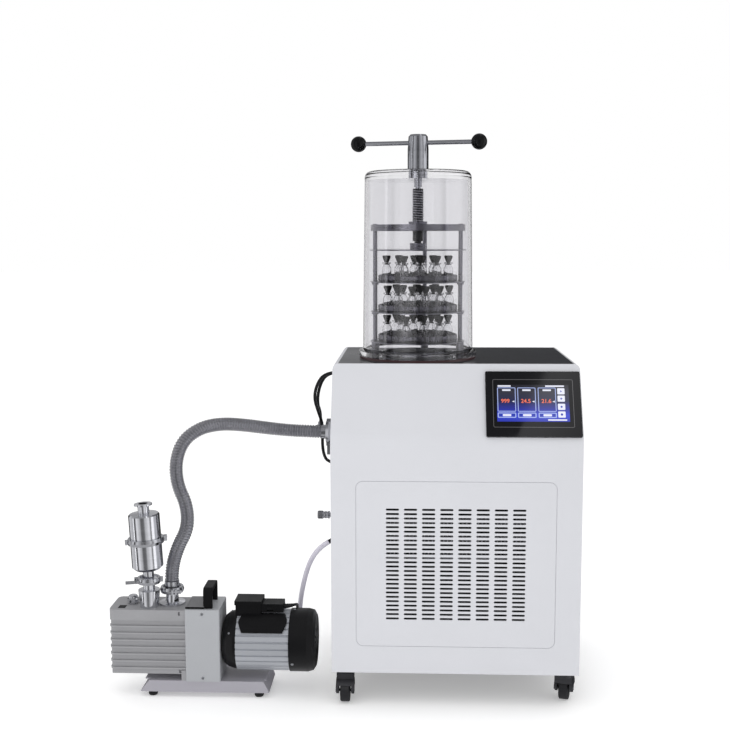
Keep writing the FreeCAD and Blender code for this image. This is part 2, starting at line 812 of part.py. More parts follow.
# Lid bushing: clamped in the jar's head, it guides and seals the handle shaft.
jar_bushing = turned(
    "jar_bushing",
    [
        ("shaft_radius + 0.05", "jar_top - jar_lid - 14"),
        ("9", "jar_top - jar_lid - 14"),
        ("9", "jar_top - jar_lid"),
        ("21.5", "jar_top - jar_lid"),
        ("21.5", "jar_top"),
        ("hub_radius", "jar_top"),
        ("hub_radius", "jar_top + 46"),
        ("shaft_radius + 0.05", "jar_top + 46"),
    ],
    jar("0", "0", "0"),
)

# Press handle: hub, cross bar and drive shaft. The shaft slides in the press
# screw's bore and turns it.
hub_blank = turned(
    "hub_blank",
    [
        ("0", "jar_top + 46.3"),
        ("hub_radius", "jar_top + 46.3"),
        ("hub_radius", "jar_top + 50"),
        ("hub_radius - 2", "jar_top + 78"),
        ("hub_radius - 6", "jar_top + 82.5"),
        ("0", "jar_top + 82.5"),
    ],
    jar("0", "0", "0"),
)
drive_shaft = rod("drive_shaft", "shaft_radius", "156", jar("0", "0", "jar_top - 108"))
bar_spin = Rotation(Vector(0, 0, 1), size("bar_turn"))
bar_axis = bar_spin.multiply(TURNS["X"])
BAR_Z = "jar_top + 64"
bar_start = bar_spin.multVec(Vector(-size("bar_reach") + 8, 0, 0))
cross_bar = rod(
    "cross_bar",
    "5",
    "2 * (bar_reach - 8)",
    jar(round(bar_start.x, 3), round(bar_start.y, 3), BAR_Z),
    bar_axis,
)
press_handle = join("press_handle", hub_blank, drive_shaft, cross_bar)

knobs = []
for sign, end in ((-1, "left"), (1, "right")):
    centre = bar_spin.multVec(Vector(sign * size("bar_reach"), 0, 0))
    sphere = ball(f"knob_ball_{end}", "knob_radius", jar(round(centre.x, 3), round(centre.y, 3), BAR_Z))
    knobs.append(cut(f"knob_{end}", sphere, cross_bar))
handle_knobs = group("handle_knobs", *knobs)

# Press screw: it turns in the rack's top plate and pushes the press plate
# down, and the handle's shaft slides in its bore.
press_screw = turned(
    "press_screw",
    [
        ("0", "1000"),
        ("8", "1000"),
        ("8", "1012"),
        ("screw_radius", "1013"),
        ("screw_radius", "1131"),
        ("shaft_radius + 0.05", "1131"),
        ("shaft_radius + 0.05", "1045"),
        ("0", "1042"),
    ],
    jar("0", "0", "0"),
)
press_boss = turned(
    "press_boss",
    [
        ("0", "991.5"),
        ("plate_radius + 2", "991.5"),
        ("plate_radius + 2", "993.5"),
        ("18.4", "993.5"),
        ("18.4", "1008"),
        ("8.05", "1008"),
        ("8.05", "999.9"),
        ("0", "999.9"),
    ],
    jar("0", "0", "0"),
)
POST_ANGLES = (180, 0, 80)


def post_spot(angle, radius="post_circle"):
    reach = Vector(size(radius), 0, 0)
    spot = Rotation(Vector(0, 0, 1), angle).multVec(reach)
    return round(spot.x, 3), round(spot.y, 3)


plate_holes = [
    rod(f"plate_hole_{i}", "post_radius + 0.4", "20", jar(*post_spot(angle), "985"))
    for i, angle in enumerate(POST_ANGLES)
]
press_plate = cut("press_plate", press_boss, *plate_holes)

# Rack: three posts on thick feet carry the top plate, and a clip ring on each
# post holds each shelf.
rack_head = turned(
    "rack_head",
    [
        ("screw_radius + 0.05", "1036"),
        ("21.5", "1036"),
        ("21.5", "1046"),
        ("plate_radius - 3", "1046"),
        ("plate_radius - 3", "1036"),
        ("plate_radius", "1036"),
        ("plate_radius", "1050"),
        ("21.5", "1050"),
        ("21.5", "1057"),
        ("screw_radius + 0.05", "1057"),
    ],
    jar("0", "0", "0"),
)
posts = []
clips = []
for i, angle in enumerate(POST_ANGLES):
    spot = post_spot(angle)
    posts.append(rod(f"post_{i}", "post_radius", "1052 - cab_top", jar(*spot, "cab_top")))
    posts.append(rod(f"post_foot_{i}", "9", "shelf_low - 2 - cab_top", jar(*spot, "cab_top")))
    for level in (1, 2):
        lift = f"shelf_low + {level} * shelf_step - 8"
        clips.append(rod(f"clip_{i}_{level}", "8", "6", jar(*spot, lift)))
rack_frame = join("rack_frame", rack_head, *posts, *clips)

shelf_plates = []
for level in range(3):
    rise = f"shelf_low + {level} * shelf_step"
    disc = rod(f"shelf_disc_{level}", "plate_radius", "2", jar("0", "0", f"{rise} - 2"))
    holes = [
        rod(f"shelf_hole_{level}_{i}", "post_radius", "10", jar(*post_spot(angle), f"{rise} - 6"))
        for i, angle in enumerate(POST_ANGLES)
    ]
    shelf_plates.append(cut(f"shelf_{level}", disc, *holes))
rack_shelves = group("rack_shelves", *shelf_plates)

tray_pieces = [
    turned(
        f"tray_{level}",
        [
            ("0", "0"),
            ("tray_radius", "0"),
            ("tray_radius", "tray_tall"),
            ("tray_radius - 1", "tray_tall"),
            ("tray_radius - 1", "1"),
            ("0", "1"),
        ],
        jar("0", "0", f"shelf_low + {level} * shelf_step"),
    )
    for level in range(3)
]
trays = group("trays", *tray_pieces)

# Vials stand loose in the trays, each with a half-set stopper.
VIAL_SPOTS = (
    (
        (-70, -6), (-26, -62), (14, -30), (49, -46), (70, 4), (-38, -14),
        (32, 22), (-10, 20), (-50, 40), (4, 66), (46, 56),
    ),
    (
        (-68, -20), (-44, -50), (-12, -66), (18, -58), (49, -44), (72, -6),
        (-34, 8), (6, -14), (36, 14), (-2, 44), (-50, 48), (42, 56),
    ),
    (
        (-72, 8), (-31, -60), (5, -68), (42, -50), (70, -4), (-42, -16),
        (10, -24), (36, 26), (-8, 18), (-44, 46), (2, 64),
    ),
)
vial_form = turned(
    "vial_form",
    [
        ("0", "0"),
        ("11", "0"),
        ("11", "29"),
        ("7.5", "35"),
        ("7.5", "38"),
        ("10", "38"),
        ("10", "42"),
        ("6", "42"),
        ("6", "34"),
        ("9.8", "28"),
        ("9.8", "1.2"),
        ("0", "1.2"),
    ],
    ("0", "0", "0"),
)
stopper_form = turned(
    "stopper_form",
    [("0", "36"), ("5.9", "36"), ("5.9", "49"), ("9.5", "49"), ("9.5", "57.5"), ("0", "57.5")],
    ("0", "0", "0"),
)
doc.recompute()


def standing(label, form):
    """Copies of a small form at every vial's place, as one group of solids."""
    copies = []
    for level, spots in enumerate(VIAL_SPOTS):
        lift = size(f"shelf_low + {level} * shelf_step + 1")
        for x, y in spots:
            place = Vector(size("cab_x + jar_x") + x, size("cab_y + jar_y") + y, lift)
            piece = form.Shape.copy()
            piece.translate(place)
            copies.append(piece)
    node = doc.addObject("Part::Feature", label)
    node.Label = label
    node.Shape = Part.makeCompound(copies)
    return node


vials = standing("vials", vial_form)
stoppers = standing("stoppers", stopper_form)

# --------------------------------------------------- fittings on the left side
PANEL = "-cab_width / 2"
port_blank = turned(
    "port_blank",
    [
        ("10.5", "0"),
        ("12.5", "0"),
        ("12.5", "cab_width / 2 + jar_x"),
        ("24", "cab_width / 2 + jar_x"),
        ("24", "cab_width / 2 + jar_x + 2"),
        ("12.5", "cab_width / 2 + jar_x + 2"),
        ("12.5", "cab_width / 2 + jar_x + 16"),
        ("flange_radius", "cab_width / 2 + jar_x + 17"),
        ("flange_radius", "cab_width / 2 + jar_x + 20"),
        ("10.5", "cab_width / 2 + jar_x + 20"),
    ],
    jar("0", "0", "port_z"),
    "-X",
)
port_clear = rod("port_clear", "trap_radius", "80", jar("0", "0", "port_z - 40"))
vacuum_port = cut("vacuum_port", port_blank, port_clear)


def clamp(label, place, turn, swing=0, radius="flange_radius", wing="13"):
    """A hinged clamp ring, closed by a swing bolt with a wing nut."""
    axis = turn if isinstance(turn, Rotation) else TURNS[turn]
    pose = axis.multiply(Rotation(Vector(0, 0, 1), swing))
    band = turned(
        f"{label}_band",
        [
            (radius, "-6.5"),
            (f"{radius} + 5", "-6.5"),
            (f"{radius} + 7", "0"),
            (f"{radius} + 5", "6.5"),
            (radius, "6.5"),
        ],
        ("0", "0", "0"),
    )
    ears = [
        block(f"{label}_ear_a", "9", "4", "12", (f"{radius} + 3", "2", "-6")),
        block(f"{label}_ear_b", "9", "4", "12", (f"{radius} + 3", "-6", "-6")),
        block(f"{label}_hinge", "9", "10", "10", (f"-({radius}) - 11", "-5", "-5")),
        rod(f"{label}_bolt", "2.2", "26", (f"{radius} + 8", "-6", "0"), "Y"),
        block(f"{label}_wing", wing, "3", "7", (f"{radius} + 1.5", "12", "-3.5")),
        rod(f"{label}_nut", "4.5", "7", (f"{radius} + 8", "6", "0"), "Y"),
    ]
    whole = join(label, band, *ears)
    doc.recompute()
    return put(whole, place, pose)


def hose_end(label, place, turn, cuff):
    """The flange and cuff that end the corrugated hose."""
    return turned(
        label,
        [
            ("10.5", "0"),
            ("flange_radius", "0"),
            ("flange_radius", "3"),
            ("12.5", "4"),
            ("hose_radius + 0.8", "5"),
            ("hose_radius + 0.8", cuff),
            ("10.5", cuff),
        ],
        place,
        turn,
    )


PORT_FACE = f"{PANEL} - 20"
INLET_FACE = "234"
TRAP_FACE = "261"
TRAP_SEAM = "91"
hose_end_port = hose_end("hose_end_port", cab(PORT_FACE, "jar_y", "port_z"), "-X", "17")
hose_end_pump = hose_end("hose_end_pump", cab("inlet_x", "inlet_y", INLET_FACE), "Z", "19")
lean_turn = Rotation(Vector(0, 1, 0), size("trap_lean"))
seam_shift = lean_turn.multVec(Vector(0, 0, size(TRAP_SEAM)))
TRAP_BODY = "34.5"
kf_fittings = group(
    "kf_fittings",
    hose_end_port,
    hose_end_pump,
    clamp("clamp_port", cab(PORT_FACE, "jar_y", "port_z"), "-X", 180, wing="30"),
    clamp("clamp_inlet", cab("inlet_x", "inlet_y", INLET_FACE), "Z", -70),
    clamp("clamp_trap", cab("exhaust_x", "exhaust_y", TRAP_FACE), "Z", 195, wing="30"),
    clamp(
        "clamp_seam",
        cab(
            f"exhaust_x + {round(seam_shift.x, 3)}",
            "exhaust_y",
            f"{TRAP_FACE} + {round(seam_shift.z, 3)}",
        ),
        lean_turn,
        20,
        TRAP_BODY,
    ),
)

gauge_body = turned(
    "gauge_body",
    [
        ("0", "0"),
        ("15", "0"),
        ("15", "3"),
        ("9", "4"),
        ("9", "12"),
        ("13", "14"),
        ("13", "53"),
        ("11", "55"),
        ("0", "55"),
    ],
    cab(PANEL, "276", "563"),
    "-X",
)
gauge_socket = rod("gauge_socket", "6.5", "20", cab(f"{PANEL} - 44", "276", "563"))
vacuum_gauge = join("vacuum_gauge", gauge_body, gauge_socket)

# Vent valve: a fixed body on the panel and a knurled knob that opens it.
VENT_PLACE = cab(PANEL, "180", "380")
vent_body = turned(
    "vent_body",
    [
        ("0", "0"),
        ("10", "0"),
        ("10", "2"),
        ("5", "3"),
        ("5", "15"),
        ("9", "17"),
        ("9", "19"),
        ("7", "20"),
        ("8.5", "25"),
        ("7", "30"),
        ("3", "30"),
        ("3", "38"),
        ("0", "38"),
    ],
    VENT_PLACE,
    "-X",
)
vent_knob = turned(
    "vent_knob",
    [
        ("3.05", "30.3"),
        ("8", "30.3"),
        ("9", "31.5"),
        ("9", "43"),
        ("8", "44.2"),
        ("0", "44.2"),
        ("0", "38.3"),
        ("3.05", "38.3"),
    ],
    VENT_PLACE,
    "-X",
)

# Three cable glands and the drain spout are screwed into the same panel.
GLANDS = (("200", "711", "8"), ("214", "709", "8"), ("220", "495", "8"))
glands = [
    turned(
        f"gland_{i}",
        [("0", "0"), ("6.6", "0"), ("6.6", "4"), ("5.2", "5"), ("4.4", reach), ("0", reach)],
        cab(PANEL, depth, level),
        "-X",
    )
    for i, (depth, level, reach) in enumerate(GLANDS)
]
DRAIN_DIP = Rotation(Vector(0, 1, 0), -120)
drain_flange = rod("drain_flange", "10", "6", cab(PANEL, "200", "318"), "-X")
drain_neck = rod("drain_neck", "6.5", "12", cab(PANEL, "200", "318"), "-X")
drain_stub = rod("drain_stub", "5", "16", cab(f"{PANEL} - 6", "200", "318"), DRAIN_DIP)
drain_spout = join("drain_spout", drain_flange, drain_neck, drain_stub)
side_fittings = group("side_fittings", *glands, drain_spout, vent_body)

# ------------------------------------------------------------------ pump
BASE_LEFT, BASE_RIGHT = "-702", "-412"
BASE_FRONT, BASE_DEEP = "-55", "110"
channel = drawn(
    "channel",
    "XZ_Plane",
    [
        (BASE_LEFT, "12"),
        (BASE_RIGHT, "12"),
        (f"{BASE_RIGHT} - 6", "26"),
        (f"{BASE_RIGHT} - 13", "base_top"),
        (f"{BASE_LEFT} + 21", "base_top"),
    ],
    BASE_DEEP,
    pump("0", BASE_FRONT, "0"),
    back=True,
)
channel_inside = drawn(
    "channel_inside",
    "XZ_Plane",
    [
        (f"{BASE_LEFT} + 4", "10"),
        (f"{BASE_RIGHT} - 3", "10"),
        (f"{BASE_RIGHT} - 9", "25"),
        (f"{BASE_RIGHT} - 15", "base_top - 2.5"),
        (f"{BASE_LEFT} + 23", "base_top - 2.5"),
    ],
    f"{BASE_DEEP} - 5",
    pump("0", f"{BASE_FRONT} + 2.5", "0"),
    back=True,
)
base_plate = block("base_plate", "273", "82", "2.5", pump("-693", "-41", "base_top - 2.5"))
pump_base = join("pump_base", cut("channel_shell", channel, channel_inside), base_plate)

feet = []
for x in ("-676", "-436"):
    for y in ("-40", "40"):
        feet.append(
            turned(
                f"foot_{len(feet)}",
                [
                    ("0", "0"),
                    ("9", "0"),
                    ("10.5", "3"),
                    ("10.5", "10"),
                    ("8", "12"),
                    ("8", "15"),
                    ("3", "15"),
                    ("3", "base_top - 2.5"),
                    ("0", "base_top - 2.5"),
                ],
                pump(x, y, "0"),
            )
        )
pump_feet = group("pump_feet", *feet)

# Oil case: a ribbed casting with a foot flange and two bolt slots at its
# right end.
CASE_DEEP = "93"
case = drawn(
    "case_casting",
    "XY_Plane",
    [
        ("case_left", f"-{CASE_DEEP} / 2"),
        ("case_right", f"-{CASE_DEEP} / 2"),
        ("case_right", f"{CASE_DEEP} / 2"),
        ("case_left", f"{CASE_DEEP} / 2"),
    ],
    "case_top - case_foot",
    pump("0", "-8.5", "case_foot"),
)
doc.recompute()
case_edges = [
    f"Edge{i}"
    for i, side in enumerate(case.Shape.Edges, start=1)
    if along("Z", lambda p: p.x < size("cab_x + case_left + 1"))(side)
]
softened(case, "case_soft", case_edges, "12")
doc.recompute()
groove = case.newObject("Sketcher::SketchObject", "case_groove")
groove.AttachmentSupport = (plane(case, "XY_Plane"), [""])
groove.MapMode = "FlatFace"
groove_out = (size("case_left") - 8, size("case_right") + 8, size(f"{CASE_DEEP} / 2") + 8)
groove_in = (size("case_left") + 4, size("case_right") + 8, size(f"{CASE_DEEP} / 2") - 4)
corners = [
    (groove_out[1], -groove_out[2]),
    (groove_out[0], -groove_out[2]),
    (groove_out[0], groove_out[2]),
    (groove_out[1], groove_out[2]),
    (groove_in[1], groove_in[2]),
    (groove_in[0], groove_in[2]),
    (groove_in[0], -groove_in[2]),
    (groove_in[1], -groove_in[2]),
]
for i, (u, v) in enumerate(corners):
    nu, nv = corners[(i + 1) % len(corners)]
    groove.addGeometry(Part.LineSegment(Vector(u, v, 0), Vector(nu, nv, 0)), False)
for i in range(len(corners)):
    groove.addConstraint(Sketcher.Constraint("Coincident", i, 2, (i + 1) % len(corners), 1))
groove.Placement = Placement()
groove.AttachmentOffset = Placement(Vector(0, 0, -0.3), Rotation())
groove_cut = case.newObject("PartDesign::Pocket", "case_groove_cut")
groove_cut.Profile = groove
groove_cut.Length = 12
groove_cut.Reversed = True
doc.recompute()
repeated(case, groove_cut, "Z_Axis", "16 * 7", 8, "case_grooves")
case_flange = block("case_flange", "10", CASE_DEEP, "24", cab("case_right - 10", "22", "base_top"))
bolt_slots = [
    block("bolt_slot_top", "4.5", "6", "9", cab("case_right - 15", "20", "188")),
    block("bolt_slot_low", "5.5", "12", "9", cab("case_right - 16", "18", "54")),
]
oil_case = cut("oil_case", join("case_whole", case, case_flange), *bolt_slots)

bracket_blank = block(
    "bracket_blank",
    "block_right - case_right",
    "95",
    "165",
    pump("case_right", "-59", "base_top"),
)
pump_bracket = rounded("pump_bracket", bracket_blank, "4", along("Z"))

handle_blank = block("handle_blank", "20", "70", "46.5", pump("-557", "-50", "base_top + 165"))
handle_soft = rounded(
    "handle_soft",
    handle_blank,
    "9",
    along("X", lambda p: p.z > size("base_top") + 200),
)
handle_gap = block("handle_gap", "30", "54", "37.5", pump("-562", "-42", "base_top + 165"))
handle_pad = block("handle_pad", "42", "74", "4", pump("-597", "-52", "base_top + 165"))
handle_bow = cut("handle_bow", handle_soft, handle_gap)
carry_handle = join("carry_handle", handle_bow, handle_pad)

filler_cap = turned(
    "filler_cap",
    [
        ("0", "0"),
        ("9", "0"),
        ("9", "4"),
        ("13", "4"),
        ("13", "11"),
        ("10", "12.5"),
        ("10", "17"),
        ("8", "19"),
        ("0", "19"),
    ],
    pump("-725", "-7", "case_top"),
)

# Motor: a rounded end bell, a finned body and a fan cover on one axis.
motor_bell = turned(
    "motor_bell",
    [
        ("0", "0"),
        ("42", "0"),
        ("54", "5"),
        ("61", "14"),
        ("65.5", "28"),
        ("65.5", "body_left - block_right"),
        ("0", "body_left - block_right"),
    ],
    pump("block_right", "0", "motor_z"),
    "X",
)

stator = body("stator", pump("body_left", "0", "motor_z"), "X")
stator_ring = circle(stator, "stator_ring", "XY_Plane", "0", "0", "motor_radius")
stator_pad = stator.newObject("PartDesign::Pad", "stator_pad")
stator_pad.Profile = stator_ring
bind(stator_pad, "Length", "body_right - body_left")
doc.recompute()
flute = outline(
    stator,
    "stator_flute",
    "XY_Plane",
    [
        ("motor_radius - 3", "-0.8"),
        ("motor_radius + 2", "-3.4"),
        ("motor_radius + 2", "3.4"),
        ("motor_radius - 3", "0.8"),
    ],
)
flute_cut = stator.newObject("PartDesign::Pocket", "stator_flute_cut")
flute_cut.Profile = flute
bind(flute_cut, "Length", "body_right - body_left")
flute_cut.Reversed = True
doc.recompute()
ringed(stator, flute_cut, "Z_Axis", 28, "stator_flutes")
stator_shaft = rod("stator_shaft", "7", "36", pump("body_right", "0", "motor_z"), "X")
motor_body = join("motor_body", stator, stator_shaft)

# Motor box: one moulding with the capacitor's saddle on the motor's front,
# the terminal housing with its lid, and the switch housing beside it.
SADDLE_LONG = "108"
saddle_ring = rod(
    "saddle_ring", "motor_radius + 4", SADDLE_LONG, pump("body_left + 5", "0", "motor_z"), "X"
)
saddle_keep = block(
    "saddle_keep", SADDLE_LONG, "60", "80", pump("body_left + 5", "-82", "motor_z + 36")
)
saddle_arch = shared("saddle_arch", saddle_ring, saddle_keep)
saddle_corners = []
for side, edge, inward in (("left", "body_left + 4.9", "+"), ("right", "body_left + 113.1", "-")):
    corner_pair = (
        [(edge, "motor_z + 35"), (f"{edge} {inward} 9", "motor_z + 35"), (edge, "motor_z + 54")],
        [(edge, "motor_z + 58"), (f"{edge} {inward} 9", "motor_z + 71"), (edge, "motor_z + 71")],
    )
    for level, corner in zip(("low", "high"), corner_pair):
        label = f"saddle_corner_{side}_{level}"
        wedge = drawn(label, "XZ_Plane", corner, "180", pump("0", "-90", "0"), back=True)
        saddle_corners.append(wedge)
saddle = cut("saddle", saddle_arch, *saddle_corners)
terminal = block("terminal", "57", "48", "54", pump("body_left - 4", "-27", "160"))
terminal_lid = block("terminal_lid", "61", "54", "9", pump("body_left - 6", "-30", "205"))
switch_house = block("switch_house", "52", "40", "19", pump("body_left + 51", "-25", "188"))
bore_out = rod("saddle_bore", "motor_radius", "130", pump("body_left - 5", "0", "motor_z"), "X")
rocker_well = rod("rocker_well", "7.8", "14", pump("body_left + 66", "-20", "197.5"), "X")
box_blank = join("motor_box_blank", saddle, terminal, terminal_lid, switch_house)
motor_box = cut("motor_box", box_blank, bore_out, rocker_well)

pump_switch = drawn(
    "pump_switch",
    "YZ_Plane",
    [
        ("-6.2", "4.1"),
        ("-5.1", "0"),
        ("-6.2", "-4.1"),
        ("-1.6", "-7.2"),
        ("3.3", "-6.6"),
        ("3.3", "6.6"),
        ("-1.6", "7.2"),
    ],
    "13.4",
    pump("body_left + 66.3", "-20", "197.5"),
    Rotation(Vector(1, 0, 0), -10),
)

# Fan cover: a drawn cap with a ring of air slots in its end, over the fan.
cover = turned(
    "fan_cover",
    [
        ("motor_radius", "0"),
        ("motor_radius + 2", "0"),
        ("motor_radius + 2", "cover_right - body_right - 18"),
        ("motor_radius - 1", "cover_right - body_right - 6"),
        ("motor_radius - 11", "cover_right - body_right"),
        ("0", "cover_right - body_right"),
        ("0", "cover_right - body_right - 1.5"),
        ("motor_radius - 11.6", "cover_right - body_right - 1.5"),
        ("motor_radius - 2.4", "cover_right - body_right - 7"),
        ("motor_radius", "cover_right - body_right - 18"),
    ],
    pump("body_right", "0", "motor_z"),
    "X",
)
doc.recompute()
air_slot = outline(
    cover,
    "fan_cover_slot",
    "XY_Plane",
    [("20", "-2.2"), ("50", "-2.2"), ("50", "2.2"), ("20", "2.2")],
)
air_cut = cover.newObject("PartDesign::Pocket", "fan_cover_slot_cut")
air_cut.Profile = air_slot
air_cut.Length = 100
air_cut.Reversed = True
doc.recompute()
ringed(cover, air_cut, "Z_Axis", 18, "fan_cover_slots")
fan_cover = cover

wheel_hub = rod("motor_fan_hub", "15", "26", pump("body_right + 10", "0", "motor_z"), "X")
vanes = []
for i in range(6):
    vane = doc.addObject("Part::Box", f"motor_fan_vane_{i}")
    vane.Length = 24
    vane.Width = 2.5
    vane.Height = 46
    shift = Placement(Vector(0, -1.25, 13), Rotation())
    around = Placement(Vector(0, 0, 0), Rotation(Vector(1, 0, 0), 60 * i))
    centre = Placement(
        Vector(size("cab_x + body_right + 11"), size("cab_y + pump_y"), size("motor_z")),
        Rotation(),
    )
    vane.Placement = centre.multiply(around).multiply(shift)
    vanes.append(vane)
wheel_bore = rod("motor_fan_bore", "7.05", "60", pump("body_right", "0", "motor_z"), "X")
motor_fan = cut("motor_fan", join("motor_fan_blank", wheel_hub, *vanes), wheel_bore)

# Ports on the oil case: the inlet with its broad foot, and the exhaust.
inlet_port = turned(
    "inlet_port",
    [
        ("10.5", "0"),
        ("29", "0"),
        ("29", "4"),
        ("15", "6"),
        ("12.5", f"{INLET_FACE} - case_top - 4"),
        ("flange_radius", f"{INLET_FACE} - case_top - 3"),
        ("flange_radius", f"{INLET_FACE} - case_top"),
        ("10.5", f"{INLET_FACE} - case_top"),
    ],
    cab("inlet_x", "inlet_y", "case_top"),
)
exhaust_port = turned(
    "exhaust_port",
    [
        ("10.5", "0"),
        ("20.5", "0"),
        ("24", "39"),
        ("13", "40"),
        ("12.5", f"{TRAP_FACE} - case_top - 4"),
        ("flange_radius", f"{TRAP_FACE} - case_top - 3"),
        ("flange_radius", f"{TRAP_FACE} - case_top"),
        ("10.5", f"{TRAP_FACE} - case_top"),
    ],
    cab("exhaust_x", "exhaust_y", "case_top"),
)
pump_ports = group("pump_ports", inlet_port, exhaust_port, filler_cap)

# Mist trap: a polished two-part can, open at the top in a small flange.
mist_trap = turned(
    "mist_trap",
    [
        ("0", "0.8"),
        ("flange_radius", "0.8"),
        ("flange_radius", "3.5"),
        ("12", "5"),
        ("12", "23"),
        ("27", "25"),
        (TRAP_BODY, "32"),
        (TRAP_BODY, "149"),
        (f"{TRAP_BODY} - 2.5", "152"),
        ("12.5", "154"),
        ("12.5", "168"),
        ("flange_radius", "171"),
        ("flange_radius", "174.5"),
        ("10.5", "174.5"),
        ("10.5", "146"),
        ("0", "146"),
    ],
    cab("exhaust_x", "exhaust_y", TRAP_FACE),
    lean_turn,
)

# -------------------------------------------------------- hose, tube, cables
def tube(label, points, radius):
    """A round tube along straight runs joined by tangent arcs."""
    spots = [Vector(size("cab_x") + x, size("cab_y") + y, z) for x, y, z in points]
    runs = [spots[i + 1].sub(spots[i]) for i in range(len(spots) - 1)]
    edges = []
    start_point = spots[0]
    tightest = 1e9
    for i in range(1, len(spots) - 1):
        before, after = Vector(runs[i - 1]).normalize(), Vector(runs[i]).normalize()
        turn_angle = before.getAngle(after)
        trim = 0.45 * min(runs[i - 1].Length, runs[i].Length)
        bend_radius = trim / math.tan(turn_angle / 2)
        tightest = min(tightest, bend_radius)
        entry = spots[i].sub(before * trim)
        leave = spots[i].add(after * trim)
        inward = after.sub(before).normalize()
        middle = spots[i].add(inward * (bend_radius / math.cos(turn_angle / 2) - bend_radius))
        edges.append(Part.LineSegment(start_point, entry).toShape())
        edges.append(Part.Arc(entry, middle, leave).toShape())
        start_point = leave
    edges.append(Part.LineSegment(start_point, spots[-1]).toShape())
    path = Part.Wire(edges)
    section = Part.Wire(Part.makeCircle(radius, spots[0], runs[0]))
    node = doc.addObject("Part::Feature", label)
    node.Label = label
    node.Shape = path.makePipeShell([section], True, False)
    expected = math.pi * radius**2 * path.Length
    if abs(node.Shape.Volume - expected) > 0.01 * expected:
        raise ValueError(f"{label}: volume {node.Shape.Volume:.0f}, expected {expected:.0f}")
    print(f"{label}: length {path.Length:.0f} mm, tightest arc {tightest:.0f} mm")
    return node


# Evaporator coil: eight turns of tube round the cold trap, above the port.
WINDING_TUBE, WINDING_PITCH, WINDING_TURNS = 4, 16, 8
winding_round = (size("trap_radius") + WINDING_TUBE + 0.8) / math.cos(math.radians(15))
winding = []
for step in range(12 * WINDING_TURNS + 1):
    angle = math.radians(30 * step)
    winding.append((
        size("jar_x") + winding_round * math.cos(angle),
        size("jar_y") + winding_round * math.sin(angle),
        size("port_z") + 25 + WINDING_PITCH * step / 12,
    ))
evaporator_coil = tube("evaporator_coil", winding, WINDING_TUBE)

# Routes count from the middle of the cabinet's front face.
HOSE_ROUTE = [
    (-307, 220, 569), (-337, 219, 570), (-390, 211, 574), (-436, 195, 582), (-482, 173, 592),
    (-528, 150, 599), (-571, 124, 595), (-610, 102, 570), (-625, 86, 523), (-620, 77, 472),
    (-598, 73, 425), (-597, 71, 374), (-622, 73, 329), (-636, 72, 280), (-636, 72, 253),
]
SIGNAL_ROUTE = [
    (-278, 200, 711), (-300, 200, 708), (-317, 201, 681), (-323, 208, 650), (-316, 224, 618),
    (-308, 241, 589), (-307, 250, 563), (-308, 246, 536), (-304, 233, 514), (-295, 222, 498),
    (-278, 220, 495),
]
GAUGE_ROUTE = [
    (-278, 214, 709), (-294, 214, 705), (-308, 217, 685), (-316, 224, 655), (-317, 238, 630),
    (-315, 262, 615), (-314, 276, 600), (-314, 276, 583),
]
DRAIN_ROUTE = [
    (-290, 200, 310), (-309, 200, 298), (-328, 199, 275), (-341, 199, 246), (-350, 198, 213),
    (-357, 199, 178), (-361, 199, 140), (-364, 201, 100), (-365, 208, 62), (-366, 226, 30),
    (-366, 252, 10), (-367, 284, 6), (-363, 316, 6),
]
LEAD_ROUTE = [
    (-382, 72, 196), (-369, 73, 197), (-359, 84, 196), (-356, 105, 190), (-358, 126, 176),
    (-361, 145, 152), (-365, 156, 125), (-373, 165, 97), (-383, 177, 64), (-392, 194, 36),
    (-401, 219, 15), (-407, 246, 6),
]
COIL_X, COIL_Y, COIL_GAP, LEAD_RADIUS = -462, 278, 7.8, 3.3
COIL_OUTER, COIL_INNER = 53, 37.4
for step in range(53):
    down = min(step, 24) / 24
    out = max(step - 28, 0) / 24
    reach = COIL_OUTER + (COIL_INNER - COIL_OUTER) * (down - out)
    lift = 4.7 + COIL_GAP * min(max(step - 24, 0), 4) / 4
    angle = math.radians(30 * step)
    spot = (COIL_X + reach * math.cos(angle), COIL_Y + reach * math.sin(angle), lift)
    LEAD_ROUTE.append(spot)
LEAD_ROUTE += [(-511, 309, 12), (-533, 304, 10.5), (-552, 304, 10)]
vacuum_hose = tube("vacuum_hose", HOSE_ROUTE, size("hose_radius"))
signal_cable = tube("signal_cable", SIGNAL_ROUTE, 3.6)
gauge_cable = tube("gauge_cable", GAUGE_ROUTE, 3.6)
drain_tube = tube("drain_tube", DRAIN_ROUTE, 5.8)
pump_lead = tube("pump_lead", LEAD_ROUTE, LEAD_RADIUS)

# The lead ends in a moulded plug, and a flat tie holds its coil together.
PLUG_END = ("-552", "304 - pump_y", "10")
plug_grip = rod("plug_grip", "7", "16", pump(*PLUG_END), "-X")
plug_bulk = block("plug_bulk", "30", "26", "20", pump("-596", "291 - pump_y", "0"))
plug_soft = rounded("plug_soft", plug_bulk, "4", along("X"))
plug_pins = [
    block(f"plug_pin_{i}", "18", "6", "1.6", pump("-614", f"{301 + dy} - pump_y", dz))
    for i, (dy, dz) in enumerate(((0, "13"), (-6, "5"), (6, "5")))
]
lead_plug = join("lead_plug", plug_grip, plug_soft, *plug_pins)
tie_outer = block("tie_outer", "5", "25", "17.4", pump("-464.5", "310.4 - pump_y", "0.1"))
tie_inner = block("tie_inner", "9", "23", "15.2", pump("-466.5", "311.4 - pump_y", "1.1"))
lead_tie = cut("lead_tie", tie_outer, tie_inner)

